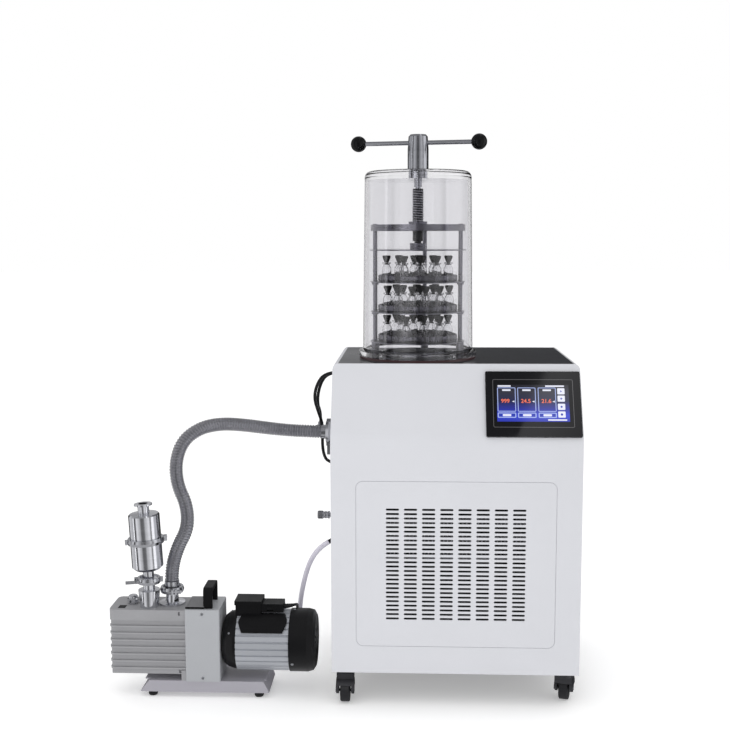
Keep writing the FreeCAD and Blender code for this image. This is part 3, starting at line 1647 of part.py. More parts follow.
# ------------------------------------------------------------ check and write
doc.recompute()
NODES = [
    base_frame, left_side_panel, right_side_panel, front_panel, louvre_panel, rear_panel, top_deck,
    *caster_nodes,
    cold_trap, evaporator_coil, compressor, condenser, fan_motor, condenser_fan, power_inlet,
    touch_screen,
    jar_seal, bell_jar, jar_bushing, press_handle, handle_knobs, press_screw, press_plate,
    rack_frame, rack_shelves, trays, vials, stoppers,
    vacuum_port, kf_fittings, vacuum_gauge, vent_knob, side_fittings,
    pump_base, pump_feet, oil_case, pump_bracket, carry_handle,
    motor_bell, motor_body, motor_box, pump_switch, fan_cover, motor_fan, pump_ports, mist_trap,
    vacuum_hose, drain_tube, signal_cable, gauge_cable, pump_lead,
    lead_plug, lead_tie,
]

for obj in doc.Objects:
    if "Invalid" in obj.State or "Error" in obj.State:
        raise RuntimeError(f"{obj.Label} failed: {obj.State}")

os.makedirs("parts", exist_ok=True)
written = set()
for node in NODES:
    shape = node.Shape
    if shape.isNull() or not shape.isValid() or not shape.Solids:
        raise RuntimeError(f"{node.Label} has no valid solid")
    if node.Label in written:
        raise RuntimeError(f"{node.Label} is written twice")
    written.add(node.Label)
    shape.exportStep(f"parts/{node.Label}.step")
print(f"{len(written)} nodes written")
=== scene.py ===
import math

import bmesh
import bpy
from mathutils import Matrix, Vector


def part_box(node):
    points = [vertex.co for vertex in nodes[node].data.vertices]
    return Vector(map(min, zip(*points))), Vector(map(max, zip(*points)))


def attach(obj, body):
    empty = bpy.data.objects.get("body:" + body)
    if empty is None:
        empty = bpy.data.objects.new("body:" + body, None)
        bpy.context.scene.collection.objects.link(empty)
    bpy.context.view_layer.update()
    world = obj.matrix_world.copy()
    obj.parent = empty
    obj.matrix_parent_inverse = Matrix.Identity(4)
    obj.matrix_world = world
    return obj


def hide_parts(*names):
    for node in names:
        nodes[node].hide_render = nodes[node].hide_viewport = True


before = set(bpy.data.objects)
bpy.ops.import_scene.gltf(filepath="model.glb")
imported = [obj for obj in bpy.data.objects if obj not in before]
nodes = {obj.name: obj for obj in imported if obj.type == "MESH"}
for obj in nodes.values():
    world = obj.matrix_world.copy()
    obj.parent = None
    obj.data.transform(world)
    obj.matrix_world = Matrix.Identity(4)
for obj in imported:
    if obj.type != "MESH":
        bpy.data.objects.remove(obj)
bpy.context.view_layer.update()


# ---- Cabinet panels --------------------------------------------------------
# Folded steel sheet, spray coated in a light grey powder that leaves a fine
# orange peel. The front bends back at the knee, and the louvre panel is let
# into it. Each panel keeps its CAD shape; the rear one is held by six screws.
def swatch(red, green, blue):
    """A colour from a paint card, each part 0 to 255, as the shaders take it."""
    return tuple(((part / 255 + 0.055) / 1.055) ** 2.4 for part in (red, green, blue))


def wire(tree, node, sockets):
    """Give a node's sockets their values. One that is given another socket is linked to it."""
    for key, value in sockets.items():
        socket = node.inputs[key]
        if isinstance(value, bpy.types.NodeSocket):
            tree.links.new(value, socket)
        else:
            socket.default_value = value
    return node


def lay(tree, kind, sockets=None, **settings):
    """Put a node in a tree, with its settings and its sockets."""
    made = tree.nodes.new(kind)
    for key, value in settings.items():
        setattr(made, key, value)
    return wire(tree, made, sockets or {})


def reckon(tree, operation, first, second=0.0):
    """One sum in a tree, such as ADD or MULTIPLY; returns its socket."""
    return lay(tree, "ShaderNodeMath", {0: first, 1: second}, operation=operation).outputs[0]


def spread(tree, value, low, high, to_low=0.0, to_high=1.0):
    """Stretch a value from one range to another; returns the socket."""
    sockets = {"Value": value, "From Min": low, "From Max": high, "To Min": to_low, "To Max": to_high}
    return lay(tree, "ShaderNodeMapRange", sockets).outputs["Result"]


def mingled(tree, share, first, second):
    """Mix two colours by a share; returns the colour socket."""
    sockets = {"Factor": share, 6: first, 7: second}
    return lay(tree, "ShaderNodeMix", sockets, data_type="RGBA").outputs[2]


def own_place(tree):
    """The place on a piece, in the piece's own coordinates; returns the socket."""
    return lay(tree, "ShaderNodeTexCoord").outputs["Object"]


def blank(name):
    """A new material; returns it, its tree and its shader."""
    material = bpy.data.materials.new(name)
    material.use_nodes = True
    tree = material.node_tree
    return material, tree, tree.nodes["Principled BSDF"]


def effect(name, inputs, outputs):
    """Start a shader node group; returns its tree, what goes in and what comes out."""
    tree = bpy.data.node_groups.new(name, "ShaderNodeTree")
    for label, kind, value in inputs:
        socket = tree.interface.new_socket(label, in_out="INPUT", socket_type=f"NodeSocket{kind}")
        socket.default_value = value
    for label, kind in outputs:
        tree.interface.new_socket(label, in_out="OUTPUT", socket_type=f"NodeSocket{kind}")
    going_in = tree.nodes.new("NodeGroupInput").outputs
    coming_out = tree.nodes.new("NodeGroupOutput").inputs
    return tree, going_in, coming_out


# Grain: a fine height for the skin of a coat or a casting, and broad clouds
# for its slight changes of tone. Stretch draws both out into brush lines.
grain, grain_in, grain_out = effect(
    "grain",
    [("Fine", "Float", 900.0), ("Broad", "Float", 9.0), ("Stretch", "Vector", (1.0, 1.0, 1.0))],
    [("Height", "Float"), ("Clouds", "Float")],
)
stretched = {0: own_place(grain), 1: grain_in["Stretch"]}
drawn_out = lay(grain, "ShaderNodeVectorMath", stretched, operation="MULTIPLY").outputs["Vector"]
for wanted, scale, detail, roughness in (("Height", "Fine", 2.0, 0.55), ("Clouds", "Broad", 4.0, 0.6)):
    noise = {"Vector": drawn_out, "Scale": grain_in[scale], "Detail": detail, "Roughness": roughness}
    grain.links.new(lay(grain, "ShaderNodeTexNoise", noise).outputs["Fac"], grain_out[wanted])

# Settling: dust and handling grease gather on faces that look up.
settling, settling_in, settling_out = effect(
    "settling", [("Amount", "Float", 0.1)], [("Mask", "Float")]
)
facing = lay(settling, "ShaderNodeNewGeometry").outputs["Normal"]
upward = lay(settling, "ShaderNodeSeparateXYZ", {0: facing}).outputs["Z"]
patchy = {"Vector": own_place(settling), "Scale": 26.0, "Detail": 5.0}
patches = lay(settling, "ShaderNodeTexNoise", patchy)
lying = reckon(settling, "MULTIPLY", spread(settling, upward, 0.3, 1.0), patches.outputs["Fac"])
settling.links.new(reckon(settling, "MULTIPLY", lying, settling_in["Amount"]), settling_out["Mask"])


def finish(
    name,
    colour,
    roughness,
    metallic=0.0,
    fine=900.0,
    broad=9.0,
    stretch=(1.0, 1.0, 1.0),
    depth=0.00002,
    tone=0.03,
    gloss_spread=0.05,
    dust=0.03,
    shine=0.5,
    clouding=0.2,
):
    """An opaque finish: its tone clouds a little, its gloss varies and its grain stands up."""
    material, tree, shader = blank(name)
    colour = swatch(*colour)
    grained = {"Fine": fine, "Broad": broad, "Stretch": stretch}
    skin = lay(tree, "ShaderNodeGroup", grained, node_tree=grain).outputs
    dusty = lay(tree, "ShaderNodeGroup", {"Amount": dust}, node_tree=settling).outputs["Mask"]
    clouds = spread(tree, skin["Clouds"], 0.5 - clouding, 0.5 + clouding)
    darker = (*(part * (1 - tone) for part in colour), 1)
    lighter = (*(min(part * (1 + tone), 1) for part in colour), 1)
    toned = mingled(tree, clouds, darker, lighter)
    dust_grey = (0.5, 0.49, 0.48, 1)
    smoothest = max(roughness - gloss_spread, 0.02)
    stood_up = {"Height": skin["Height"], "Strength": 0.6, "Distance": depth}
    settings = {
        "Base Color": mingled(tree, dusty, toned, dust_grey),
        "Roughness": spread(tree, clouds, 0, 1, smoothest, roughness + gloss_spread),
        "Normal": lay(tree, "ShaderNodeBump", stood_up).outputs["Normal"],
        "Metallic": metallic,
        "Specular IOR Level": shine,
    }
    wire(tree, shader, settings)
    return material


def coated(material, *names):
    """CAD nodes that keep their own shape get their finish."""
    for name in names:
        for slot in nodes[name].material_slots:
            slot.material = material


light_powder = finish(
    "light_powder_coat", (211, 212, 217), 0.38, fine=700, broad=5, depth=0.00003, tone=0.012,
    dust=0.02,
)
panels = ("left_side_panel", "right_side_panel", "front_panel", "rear_panel", "louvre_panel")
coated(light_powder, *panels)


def spun(profile, foot=(0, 0, 0), axis=(0, 0, 1), steps=96):
    """Turn a profile of (radius, height) pairs about an axis that starts at the foot."""
    form = bmesh.new()
    rings = []
    for radius, height in profile:
        angles = [math.tau * step / steps for step in range(steps)] if radius > 0 else [0]
        ring = [(radius * math.cos(angle), radius * math.sin(angle), height) for angle in angles]
        rings.append([form.verts.new(corner) for corner in ring])
    for lower, upper in zip(rings, rings[1:]):
        for step in range(steps):
            corners = [lower[step % len(lower)], lower[(step + 1) % len(lower)]]
            corners += [upper[(step + 1) % len(upper)], upper[step % len(upper)]]
            if len(lower) == 1:
                corners = corners[1:]
            if len(upper) == 1:
                corners = corners[:3]
            form.faces.new(corners)
    stand = Vector(axis).to_track_quat("Z", "Y").to_matrix().to_4x4()
    bmesh.ops.transform(form, matrix=Matrix.Translation(foot) @ stand, verts=form.verts)
    return form


def placed(name, data):
    """A new object that carries a mesh, a curve, a lamp or a camera, put in the scene."""
    made = bpy.data.objects.new(name, data)
    bpy.context.collection.objects.link(made)
    return made


def worked_out(made):
    """What an object's modifiers, letters or curve come to, as a plain mesh."""
    bpy.context.view_layer.update()
    graph = bpy.context.evaluated_depsgraph_get()
    return bpy.data.meshes.new_from_object(made.evaluated_get(graph))


def solid(name, form, material, crease=35):
    """A form becomes an object: doubles merged, faces outward, smooth up to a crease."""
    bmesh.ops.remove_doubles(form, verts=form.verts, dist=1e-6)
    bmesh.ops.recalc_face_normals(form, faces=form.faces)
    for face in form.faces:
        face.smooth = True
    mesh = bpy.data.meshes.new(name)
    form.to_mesh(mesh)
    form.free()
    mesh.set_sharp_from_angle(angle=math.radians(crease))
    mesh.materials.append(material)
    return placed(name, mesh)


def belongs(made, body, slot, *replaced):
    """A new piece rides on its body and stands for its CAD nodes; its slot is not used."""
    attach(made, body)
    if replaced:
        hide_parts(*replaced)
    return made


def recipe(name, sizes):
    """Start a Geometry Nodes tree; returns it, its inputs and a function that ends it."""
    tree = bpy.data.node_groups.new(name, "GeometryNodeTree")
    tree.interface.new_socket("Geometry", in_out="INPUT", socket_type="NodeSocketGeometry")
    for label, kind in {**sizes, "Finish": "Material"}.items():
        tree.interface.new_socket(label, in_out="INPUT", socket_type=f"NodeSocket{kind}")
    tree.interface.new_socket("Geometry", in_out="OUTPUT", socket_type="NodeSocketGeometry")
    given = tree.nodes.new("NodeGroupInput").outputs

    def end(geometry):
        realized = lay(tree, "GeometryNodeRealizeInstances", {"Geometry": geometry})
        dressed = {"Geometry": realized.outputs[0], "Material": given["Finish"]}
        clothed = lay(tree, "GeometryNodeSetMaterial", dressed).outputs[0]
        tree.links.new(clothed, tree.nodes.new("NodeGroupOutput").inputs[0])

    return tree, given, end


def carrier(name, places):
    """A mesh of loose points, for a Geometry Nodes tree to work on."""
    mesh = bpy.data.meshes.new(name)
    mesh.from_pydata(places, [], [])
    return mesh


def made_by(tree, name, start, material, sizes):
    """Work a Geometry Nodes tree on a mesh and keep what comes out as a plain mesh."""
    made = placed(name, start)
    worker = made.modifiers.new(tree.name, "NODES")
    worker.node_group = tree
    inputs = {item.name: item.identifier for item in tree.interface.items_tree if item.in_out == "INPUT"}
    for label, value in {**sizes, "Finish": material}.items():
        worker[inputs[label]] = value
    result = worked_out(made)
    made.modifiers.remove(worker)
    made.data = result
    result.name = name
    return made


# Fasteners: one pattern is set at every spot, its back to the sheet.
fastened, fastened_in, fastened_end = recipe("fastened", {"Pattern": "Object"})
pattern = lay(fastened, "GeometryNodeObjectInfo", {"Object": fastened_in["Pattern"]})
outward = lay(
    fastened, "GeometryNodeInputNamedAttribute", {"Name": "outward"}, data_type="FLOAT_VECTOR"
)
turned = lay(
    fastened,
    "FunctionNodeAlignRotationToVector",
    {"Vector": outward.outputs["Attribute"]},
    axis="Z",
)
set_down = {
    "Points": fastened_in["Geometry"],
    "Instance": pattern.outputs["Geometry"],
    "Rotation": turned.outputs["Rotation"],
}
fastened_end(lay(fastened, "GeometryNodeInstanceOnPoints", set_down).outputs["Instances"])


def spots(name, places):
    """A carrier with a point for each (place, outward direction)."""
    points = carrier(name, [place for place, _ in places])
    direction = points.attributes.new("outward", "FLOAT_VECTOR", "POINT")
    for spot, (_, way) in zip(direction.data, places):
        spot.vector = way
    return points


def screw_pattern(name, radius, height):
    """A pan head screw with a cross cut into it, standing on its washer face."""
    dome = [
        (radius * math.cos(turn), height * (0.35 + 0.65 * math.sin(turn)))
        for turn in (math.radians(18 * step) for step in range(5))
    ]
    head = solid(name, spun([(0, 0), (radius, 0)] + dome + [(0, height)], steps=20), light_powder)
    cross = bmesh.new()
    for length, width in ((radius, radius * 0.28), (radius * 0.28, radius)):
        size = Matrix.Diagonal((length * 1.1, width * 1.1, height, 1))
        middle = Matrix.Translation((0, 0, height * 0.95))
        bmesh.ops.create_cube(cross, size=1, matrix=middle @ size)
    cutter = solid(f"{name}_cross", cross, light_powder)
    cut = head.modifiers.new("cross", "BOOLEAN")
    cut.object = cutter
    cut.operation = "DIFFERENCE"
    cut.use_self = True
    whole = worked_out(head)
    head.modifiers.remove(cut)
    head.data = whole
    bpy.data.objects.remove(cutter)
    bpy.context.collection.objects.unlink(head)
    return head


zinc = finish("bright_zinc", (176, 178, 182), 0.3, metallic=1, fine=2400, broad=60, tone=0.08)
panel_screw = screw_pattern("panel_screw", 0.0042, 0.0026)


def screws(name, head, body, places):
    """Zinc plated screws of one pattern at several places on one body."""
    belongs(made_by(fastened, name, spots(name, places), zinc, {"Pattern": head}), body, "zinc")


rear_low, rear_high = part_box("rear_panel")
from_side, from_end = 0.012, 0.04
rear_spots = [
    ((x, rear_high.y, z), (0, 1, 0))
    for x in (rear_low.x + from_side, rear_high.x - from_side)
    for z in (rear_low.z + from_end, (rear_low.z + rear_high.z) / 2, rear_high.z - from_end)
]
screws("rear_panel_screws", panel_screw, "machine", rear_spots)

# ---- Deck, base frame and mains inlet --------------------------------------
# The deck and the base are pressed from thicker sheet and coated dark grey;
# the deck's coat is sanded coarser, because things are set down on it. The
# mains inlet is a black moulding in a lower corner of the rear panel.
dark_sand = finish(
    "dark_sand_coat", (46, 47, 52), 0.3, fine=1500, broad=7, depth=0.00005, tone=0.06,
    gloss_spread=0.03, dust=0.01, shine=0.3,
)
black_moulding = finish(
    "black_moulding", (13, 13, 15), 0.42, fine=2200, broad=30, depth=0.00003, tone=0.1, dust=0.01,
    shine=0.18,
)
coated(dark_sand, "top_deck", "base_frame")
coated(black_moulding, "power_inlet")

# ---- Refrigeration behind the louvres --------------------------------------
# The condenser is three passes of tube in pressed aluminium fins, in front of
# a core coloured black as painted shade for the dark space behind the louvres.
# Compressor, fan and fan motor are painted black.
black_paint_and_shade = finish("black_paint_and_painted_shade", (26, 26, 28), 0.6, fine=1200, broad=20, tone=0.15)
bare_aluminium = finish(
    "bare_aluminium", (205, 206, 210), 0.34, metallic=0.6, fine=1800, broad=40, tone=0.1
)
brushed_steel = finish(
    "brushed_steel", (166, 167, 172), 0.26, metallic=1, fine=1400, broad=50,
    stretch=(0.04, 0.04, 1), tone=0.09,
)
# Black paint on the compressor and fans; on the condenser core the black is painted shade.
coated(black_paint_and_shade, "compressor", "fan_motor", "condenser_fan", "condenser")
coated(brushed_steel, "cold_trap")
coated(bare_aluminium, "evaporator_coil")


def vector(tree, **parts):
    """A vector from its X, Y and Z, where one left out is nought; returns the socket."""
    return lay(tree, "ShaderNodeCombineXYZ", parts).outputs[0]


def copies(tree, points, instance):
    """One instance on every point in a Geometry Nodes tree; returns the geometry's socket."""
    sockets = {"Points": points, "Instance": instance}
    return lay(tree, "GeometryNodeInstanceOnPoints", sockets).outputs[0]


finned, finned_in, finned_end = recipe(
    "finned_tubes", {"Tube": "Float", "Fin": "Float", "Fin gap": "Float", "Fins": "Int"}
)
fin_sides, fin_sheet, quarter_turn = 20, 0.0022, math.pi / 2
fin_size = {"Vertices": fin_sides, "Radius": finned_in["Fin"], "Depth": fin_sheet}
one_fin = lay(finned, "GeometryNodeMeshCylinder", fin_size).outputs["Mesh"]
fin_step = vector(finned, Z=finned_in["Fin gap"])
row = lay(finned, "GeometryNodeMeshLine", {"Count": finned_in["Fins"], "Offset": fin_step})
run = reckon(finned, "MULTIPLY", finned_in["Fin gap"], finned_in["Fins"])
core_size = {"Vertices": fin_sides, "Radius": finned_in["Tube"], "Depth": run}
core = lay(finned, "GeometryNodeMeshCylinder", core_size).outputs["Mesh"]
half_run = vector(finned, Z=reckon(finned, "MULTIPLY", run, 0.5))
core_set = lay(finned, "GeometryNodeTransform", {"Geometry": core, "Translation": half_run})
one_pass = lay(finned, "GeometryNodeJoinGeometry")
finned.links.new(copies(finned, row.outputs[0], one_fin), one_pass.inputs[0])
finned.links.new(core_set.outputs[0], one_pass.inputs[0])
sideways = {"Geometry": one_pass.outputs[0], "Rotation": (0, quarter_turn, 0)}
along_x = lay(finned, "GeometryNodeTransform", sideways).outputs[0]
finned_end(copies(finned, finned_in["Geometry"], along_x))
front_low, front_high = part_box("front_panel")
cabinet_x, cabinet_y = (front_low.x + front_high.x) / 2, front_low.y
fin_radius, pass_left, pass_heights = 0.0095, cabinet_x - 0.1495, (0.407, 0.368, 0.3265)
pass_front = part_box("condenser")[0].y - fin_radius
condenser_passes = made_by(
    finned,
    "condenser_passes",
    carrier("condenser_pass_starts", [(pass_left, pass_front, height) for height in pass_heights]),
    bare_aluminium,
    {"Tube": 0.0048, "Fin": fin_radius, "Fin gap": 0.0083, "Fins": 37},
)
belongs(condenser_passes, "machine", "condenser_alloy")

# ---- Casters ---------------------------------------------------------------
# Each caster is a black nylon fork round a wheel with a hard rubber tread.
# Its axle is a rivet, whose bright zinc heads show on both sides.
caster_nylon = finish(
    "caster_nylon", (46, 46, 50), 0.4, fine=1600, broad=30, depth=0.00003, tone=0.08, shine=0.4
)
caster_rubber = finish(
    "caster_rubber", (34, 34, 37), 0.6, fine=1300, broad=40, depth=0.00004, tone=0.12, dust=0.12,
    shine=0.3,
)
rivet_dome = [
    (0, 0), (0.0042, 0), (0.0042, 0.0005), (0.0034, 0.0013), (0.0018, 0.0017), (0, 0.0018),
]
rivet_head = solid("caster_rivet_head", spun(rivet_dome, steps=20), zinc, 60)
bpy.context.collection.objects.unlink(rivet_head)
half_axle = 0.0189
caster_turns = {"front_left": 0, "front_right": 165, "rear_left": 12, "rear_right": -15}
for corner, caster_turn in caster_turns.items():
    coated(caster_nylon, f"caster_fork_{corner}")
    coated(caster_rubber, f"caster_wheel_{corner}")
    wheel_low, wheel_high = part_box(f"caster_wheel_{corner}")
    hub = (wheel_low + wheel_high) / 2
    across = Vector((math.cos(math.radians(caster_turn)), math.sin(math.radians(caster_turn)), 0))
    rivet_ends = [(hub + across * side * half_axle, across * side) for side in (-1, 1)]
    screws(f"caster_rivet_{corner}", rivet_head, f"wheel_{corner}", rivet_ends)


# ---- Touch screen ----------------------------------------------------------
# A sheet of black edged glass on the bent console. Behind the glass a frame
# line is printed and made to glow as painted light, and the display shows three
# readings and a row of buttons.
def at_cabinet(x, y, z):
    """A point counted from the middle of the cabinet's front face, at floor level."""
    return Vector((cabinet_x + x, cabinet_y + y, z))


screen_lean = math.radians(28)
screen_up = Vector((0, math.sin(screen_lean), math.cos(screen_lean)))
screen_out = Vector((0, -math.cos(screen_lean), math.sin(screen_lean)))
screen_proud, screen_gap = 0.006, 0.00005
knee_height, screen_left, screen_foot = 0.592, 0.0635, 0.597
screen_back = (screen_foot - knee_height) * math.tan(screen_lean)
screen_corner = at_cabinet(screen_left, screen_back, screen_foot)
screen_corner += screen_out * (screen_proud + screen_gap)


def on_screen(across, up, lift=0.0):
    """A point on the glass, in millimetres from its lower left corner."""
    return screen_corner + Vector((across / 1000, 0, 0)) + screen_up * (up / 1000) + screen_out * lift


def round_corners(left, low, right, high, radius, steps=5):
    """The outline of a rounded oblong, in millimetres, as a list of points."""
    middles = [(right, low), (right, high), (left, high), (left, low)]
    outline = []
    for quarter, (x, z) in enumerate(middles):
        centre_x = x - radius if x == right else x + radius
        centre_z = z - radius if z == high else z + radius
        for step in range(steps + 1):
            angle = math.radians(90 * (quarter - 1 + step / steps))
            outline.append((centre_x + radius * math.cos(angle), centre_z + radius * math.sin(angle)))
    return outline


def printed(form, outline, lift, inner=None):
    """A flat patch on the glass, or a frame if an inner outline is given."""
    outside = [form.verts.new(on_screen(x, z, lift)) for x, z in outline]
    if inner is None:
        form.faces.new(outside)
        return
    inside = [form.verts.new(on_screen(x, z, lift)) for x, z in inner]
    count = len(outside)
    for n in range(count):
        after = (n + 1) % count
        form.faces.new((outside[n], outside[after], inside[after], inside[n]))


def frame_line(form, left, low, right, high, radius, width, lift):
    """A rounded outline of even width on the glass."""
    inner = round_corners(
        left + width, low + width, right - width, high - width, max(radius - width, 0.2)
    )
    printed(form, round_corners(left, low, right, high, radius), lift, inner)


def printed_piece(name, form, material):
    """What is printed or lit behind the glass rides on the machine, facing out."""
    mesh = bpy.data.meshes.new(name)
    for face in form.faces:
        face.normal_update()
        if face.normal.dot(screen_out) < 0:
            face.normal_flip()
    form.to_mesh(mesh)
    form.free()
    mesh.materials.append(material)
    return belongs(placed(name, mesh), "machine", "screen_gloss")


def lit(name, colour, power=1.0):
    """A part behind the glass that glows, under the same gloss as the glass: the display's lit parts,
    and the frame print as painted light.
    """
    material, tree, shader = blank(name)
    colour = swatch(*colour)
    cells = lay(tree, "ShaderNodeTexNoise", {"Vector": own_place(tree), "Scale": 260.0})
    dimmer = (*(part * 0.9 for part in colour), 1)
    settings = {
        "Emission Color": mingled(tree, cells.outputs["Fac"], dimmer, (*colour, 1)),
        "Emission Strength": power,
        "Base Color": (0.004, 0.004, 0.005, 1),
        "Roughness": 0.06,
    }
    wire(tree, shader, settings)
    return material


screen_glass = finish(
    "screen_glass", (12, 12, 15), 0.04, fine=60, broad=14, depth=0.0000003, tone=0.05,
    gloss_spread=0.02, dust=0, shine=0.3,
)
coated(screen_glass, "touch_screen")
# The frame print is made to glow: painted light that keeps the line pale under any lamp.
glowing_frame_print = lit("glowing_screen_frame_print", (112, 110, 112), 0.8)
pale_blue = lit("display_pale_blue", (176, 192, 246))
pale_white = lit("display_white", (238, 240, 255))
reading_red = lit("display_reading_red", (255, 122, 92))
button_blue = lit("display_button_blue", (44, 62, 178))

ground_lift, line_lift, bar_lift, mark_lift = 0.00004, 0.0001, 0.00014, 0.00018
form = bmesh.new()
frame_line(form, 15.6, 21, 188, 130.4, 3.5, 1.0, 0.0)
printed_piece("screen_frame_line", form, glowing_frame_print)


def ramp(tree, value, stops, **settings):
    """A colour ramp through (place, colour) stops; returns its colour socket."""
    made = lay(tree, "ShaderNodeValToRGB", {"Fac": value})
    elements = made.color_ramp.elements
    for key, setting in settings.items():
        setattr(made.color_ramp, key, setting)
    for place, _ in stops[1:-1]:
        elements.new(place)
    for stop, (place, colour) in zip(elements, stops):
        stop.position = place
        stop.color = (*colour, 1)
    return made.outputs["Color"]


# The display's own picture: near black above, lit blue below, and grey at the
# top of each box. The change follows its height on the sloping glass.
display, display_tree, display_shader = blank("display_ground")
display_low, display_high = 34, 118
height = lay(display_tree, "ShaderNodeSeparateXYZ", {0: own_place(display_tree)}).outputs["Z"]
rise = spread(display_tree, height, on_screen(0, display_low).z, on_screen(0, display_high).z)
display_stops = (
    (0.0, swatch(36, 50, 170)),
    (0.16, swatch(48, 68, 206)),
    (0.34, swatch(36, 44, 150)),
    (0.55, swatch(30, 34, 70)),
    (0.8, swatch(44, 44, 58)),
    (1.0, swatch(16, 16, 24)),
)
display_settings = {
    "Emission Color": ramp(display_tree, rise, display_stops),
    "Emission Strength": 1.0,
    "Base Color": (0.004, 0.004, 0.006, 1),
    "Roughness": 0.06,
}
wire(display_tree, display_shader, display_settings)
form = bmesh.new()
printed(form, round_corners(24, display_low, 178.5, display_high, 0.6), ground_lift)
printed_piece("display_ground", form, display)

box_columns = ((25.3, 64.6), (68.6, 107.6), (112.4, 150.8))
form = bmesh.new()
for left, right in box_columns:
    frame_line(form, left, 56.6, right, 111.5, 2.2, 1.5, line_lift)
    frame_line(form, left, 42.6, right, 54.4, 2.2, 2.0, line_lift)
printed_piece("display_box_lines", form, pale_blue)

form = bmesh.new()
for left, right in box_columns:
    middle = (left + right) / 2
    printed(form, round_corners(middle - 9, 103.6, middle + 9, 107.4, 0.8), bar_lift)
    printed(form, round_corners(middle - 9, 46, middle + 9, 51, 1.2), bar_lift)
    printed(form, [(right - 8, 79.6), (right - 3, 77.4), (right - 3, 81.8)], bar_lift)
loose_bars = ((26.4, 113.2, 54.6, 116.6), (128.5, 113.2, 169, 116.6), (132, 36.4, 172.4, 39.6))
for left, low, right, high in loose_bars:
    printed(form, round_corners(left, low, right, high, 0.8), bar_lift)
icon_rows = (96.2, 79.4, 60.8, 43.4)
for low in icon_rows:
    printed(form, round_corners(154, low, 169.6, low + 14, 1.6), bar_lift)
printed_piece("display_bars_and_buttons", form, pale_white)

form = bmesh.new()
for left, right in box_columns:
    middle = (left + right) / 2
    printed(form, round_corners(left + 2.4, 45.0, middle - 10.5, 52.0, 1.2), bar_lift)
    printed(form, round_corners(middle + 10.5, 45.0, right - 2.4, 52.0, 1.2), bar_lift)
mark_across, mark_reach = 161.8, 2.6
for low, sides in zip(icon_rows, (3, 4, 5, 16)):
    turns = [math.tau * n / sides for n in range(sides)]
    mark = [
        (mark_across + mark_reach * math.cos(turn), low + 7 + mark_reach * math.sin(turn))
        for turn in turns
    ]
    printed(form, mark, mark_lift)
printed_piece("display_marks", form, button_blue)


def reading(name, digits, left, low, tall):
    """A plain number, cut from the same flat sheet as the rest of the display."""
    letters = bpy.data.curves.new(name, "FONT")
    letters.body = digits
    # A digit stands 0.7 of its size; the offset makes its strokes bolder.
    letters.size = tall / 700
    letters.offset = 0.00022
    written = placed(name, letters)
    flat = worked_out(written)
    bpy.data.objects.remove(written)
    stand = Matrix((Vector((1, 0, 0)), screen_up, screen_out)).transposed().to_4x4()
    flat.transform(Matrix.Translation(on_screen(left, low, mark_lift)) @ stand)
    form = bmesh.new()
    form.from_mesh(flat)
    printed_piece(name, form, reading_red)


digit_foot, digit_tall = 76.6, 8.6
reading("reading_left", "999", 33.0, digit_foot, digit_tall)
reading("reading_middle", "24.5", 75.6, digit_foot, digit_tall)
reading("reading_right", "21.6", 119.4, digit_foot, digit_tall)

# ---- Drying rack -----------------------------------------------------------
# Three steel posts carry a thick head ring and three thin shelves. All of it
# is stainless, brushed round, in a darker steel whose tone clouds a little.
rack_steel = finish(
    "rack_steel", (120, 119, 128), 0.3, metallic=1, fine=1500, broad=40, stretch=(0.05, 0.05, 1),
    tone=0.12,
)
coated(rack_steel, "rack_frame", "rack_shelves")


# ---- Trays -----------------------------------------------------------------
# A drawn tray of thin stainless stands on each shelf. Its wall is low and
# its lip is rolled.
def added(form, other):
    """Put a second form into the first one."""
    carried = bpy.data.meshes.new("carried")
    other.to_mesh(carried)
    other.free()
    form.from_mesh(carried)
    bpy.data.meshes.remove(carried)


tray_steel = finish(
    "tray_steel", (100, 99, 106), 0.24, metallic=1, fine=700, broad=130, stretch=(1, 1, 0.03),
    depth=0.00003, tone=0.6, dust=0, clouding=0.09,
)
jar_low, jar_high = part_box("bell_jar")
jar_x, jar_y = (jar_low.x + jar_high.x) / 2, (jar_low.y + jar_high.y) / 2
tray_low, tray_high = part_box("trays")
tray_radius = (tray_high.x - tray_low.x) / 2
tray_tall, tray_sheet, lip_round, shelf_step = 0.0145, 0.001, 0.0011, 0.068
tray_inside = tray_radius - tray_sheet
wall = [(0, 0), (tray_radius - 0.003, 0), (tray_radius - 0.0009, 0.0009), (tray_radius, 0.003)]
for angle in (math.radians(30 * step) for step in range(7)):
    lip_out = tray_radius - lip_round + lip_round * math.cos(angle)
    wall.append((lip_out, tray_tall - lip_round + lip_round * math.sin(angle)))
wall += [
    (tray_inside - 0.0012, tray_tall - 0.003),
    (tray_inside, tray_tall - 0.004),
    (tray_inside, 0.003),
    (tray_inside - 0.002, tray_sheet),
    (0, tray_sheet),
]
tray_form = bmesh.new()
for level in range(3):
    added(tray_form, spun(wall, (jar_x, jar_y, tray_low.z + level * shelf_step), steps=120))
belongs(solid("drawn_trays", tray_form, tray_steel), "machine", "stainless", "trays")


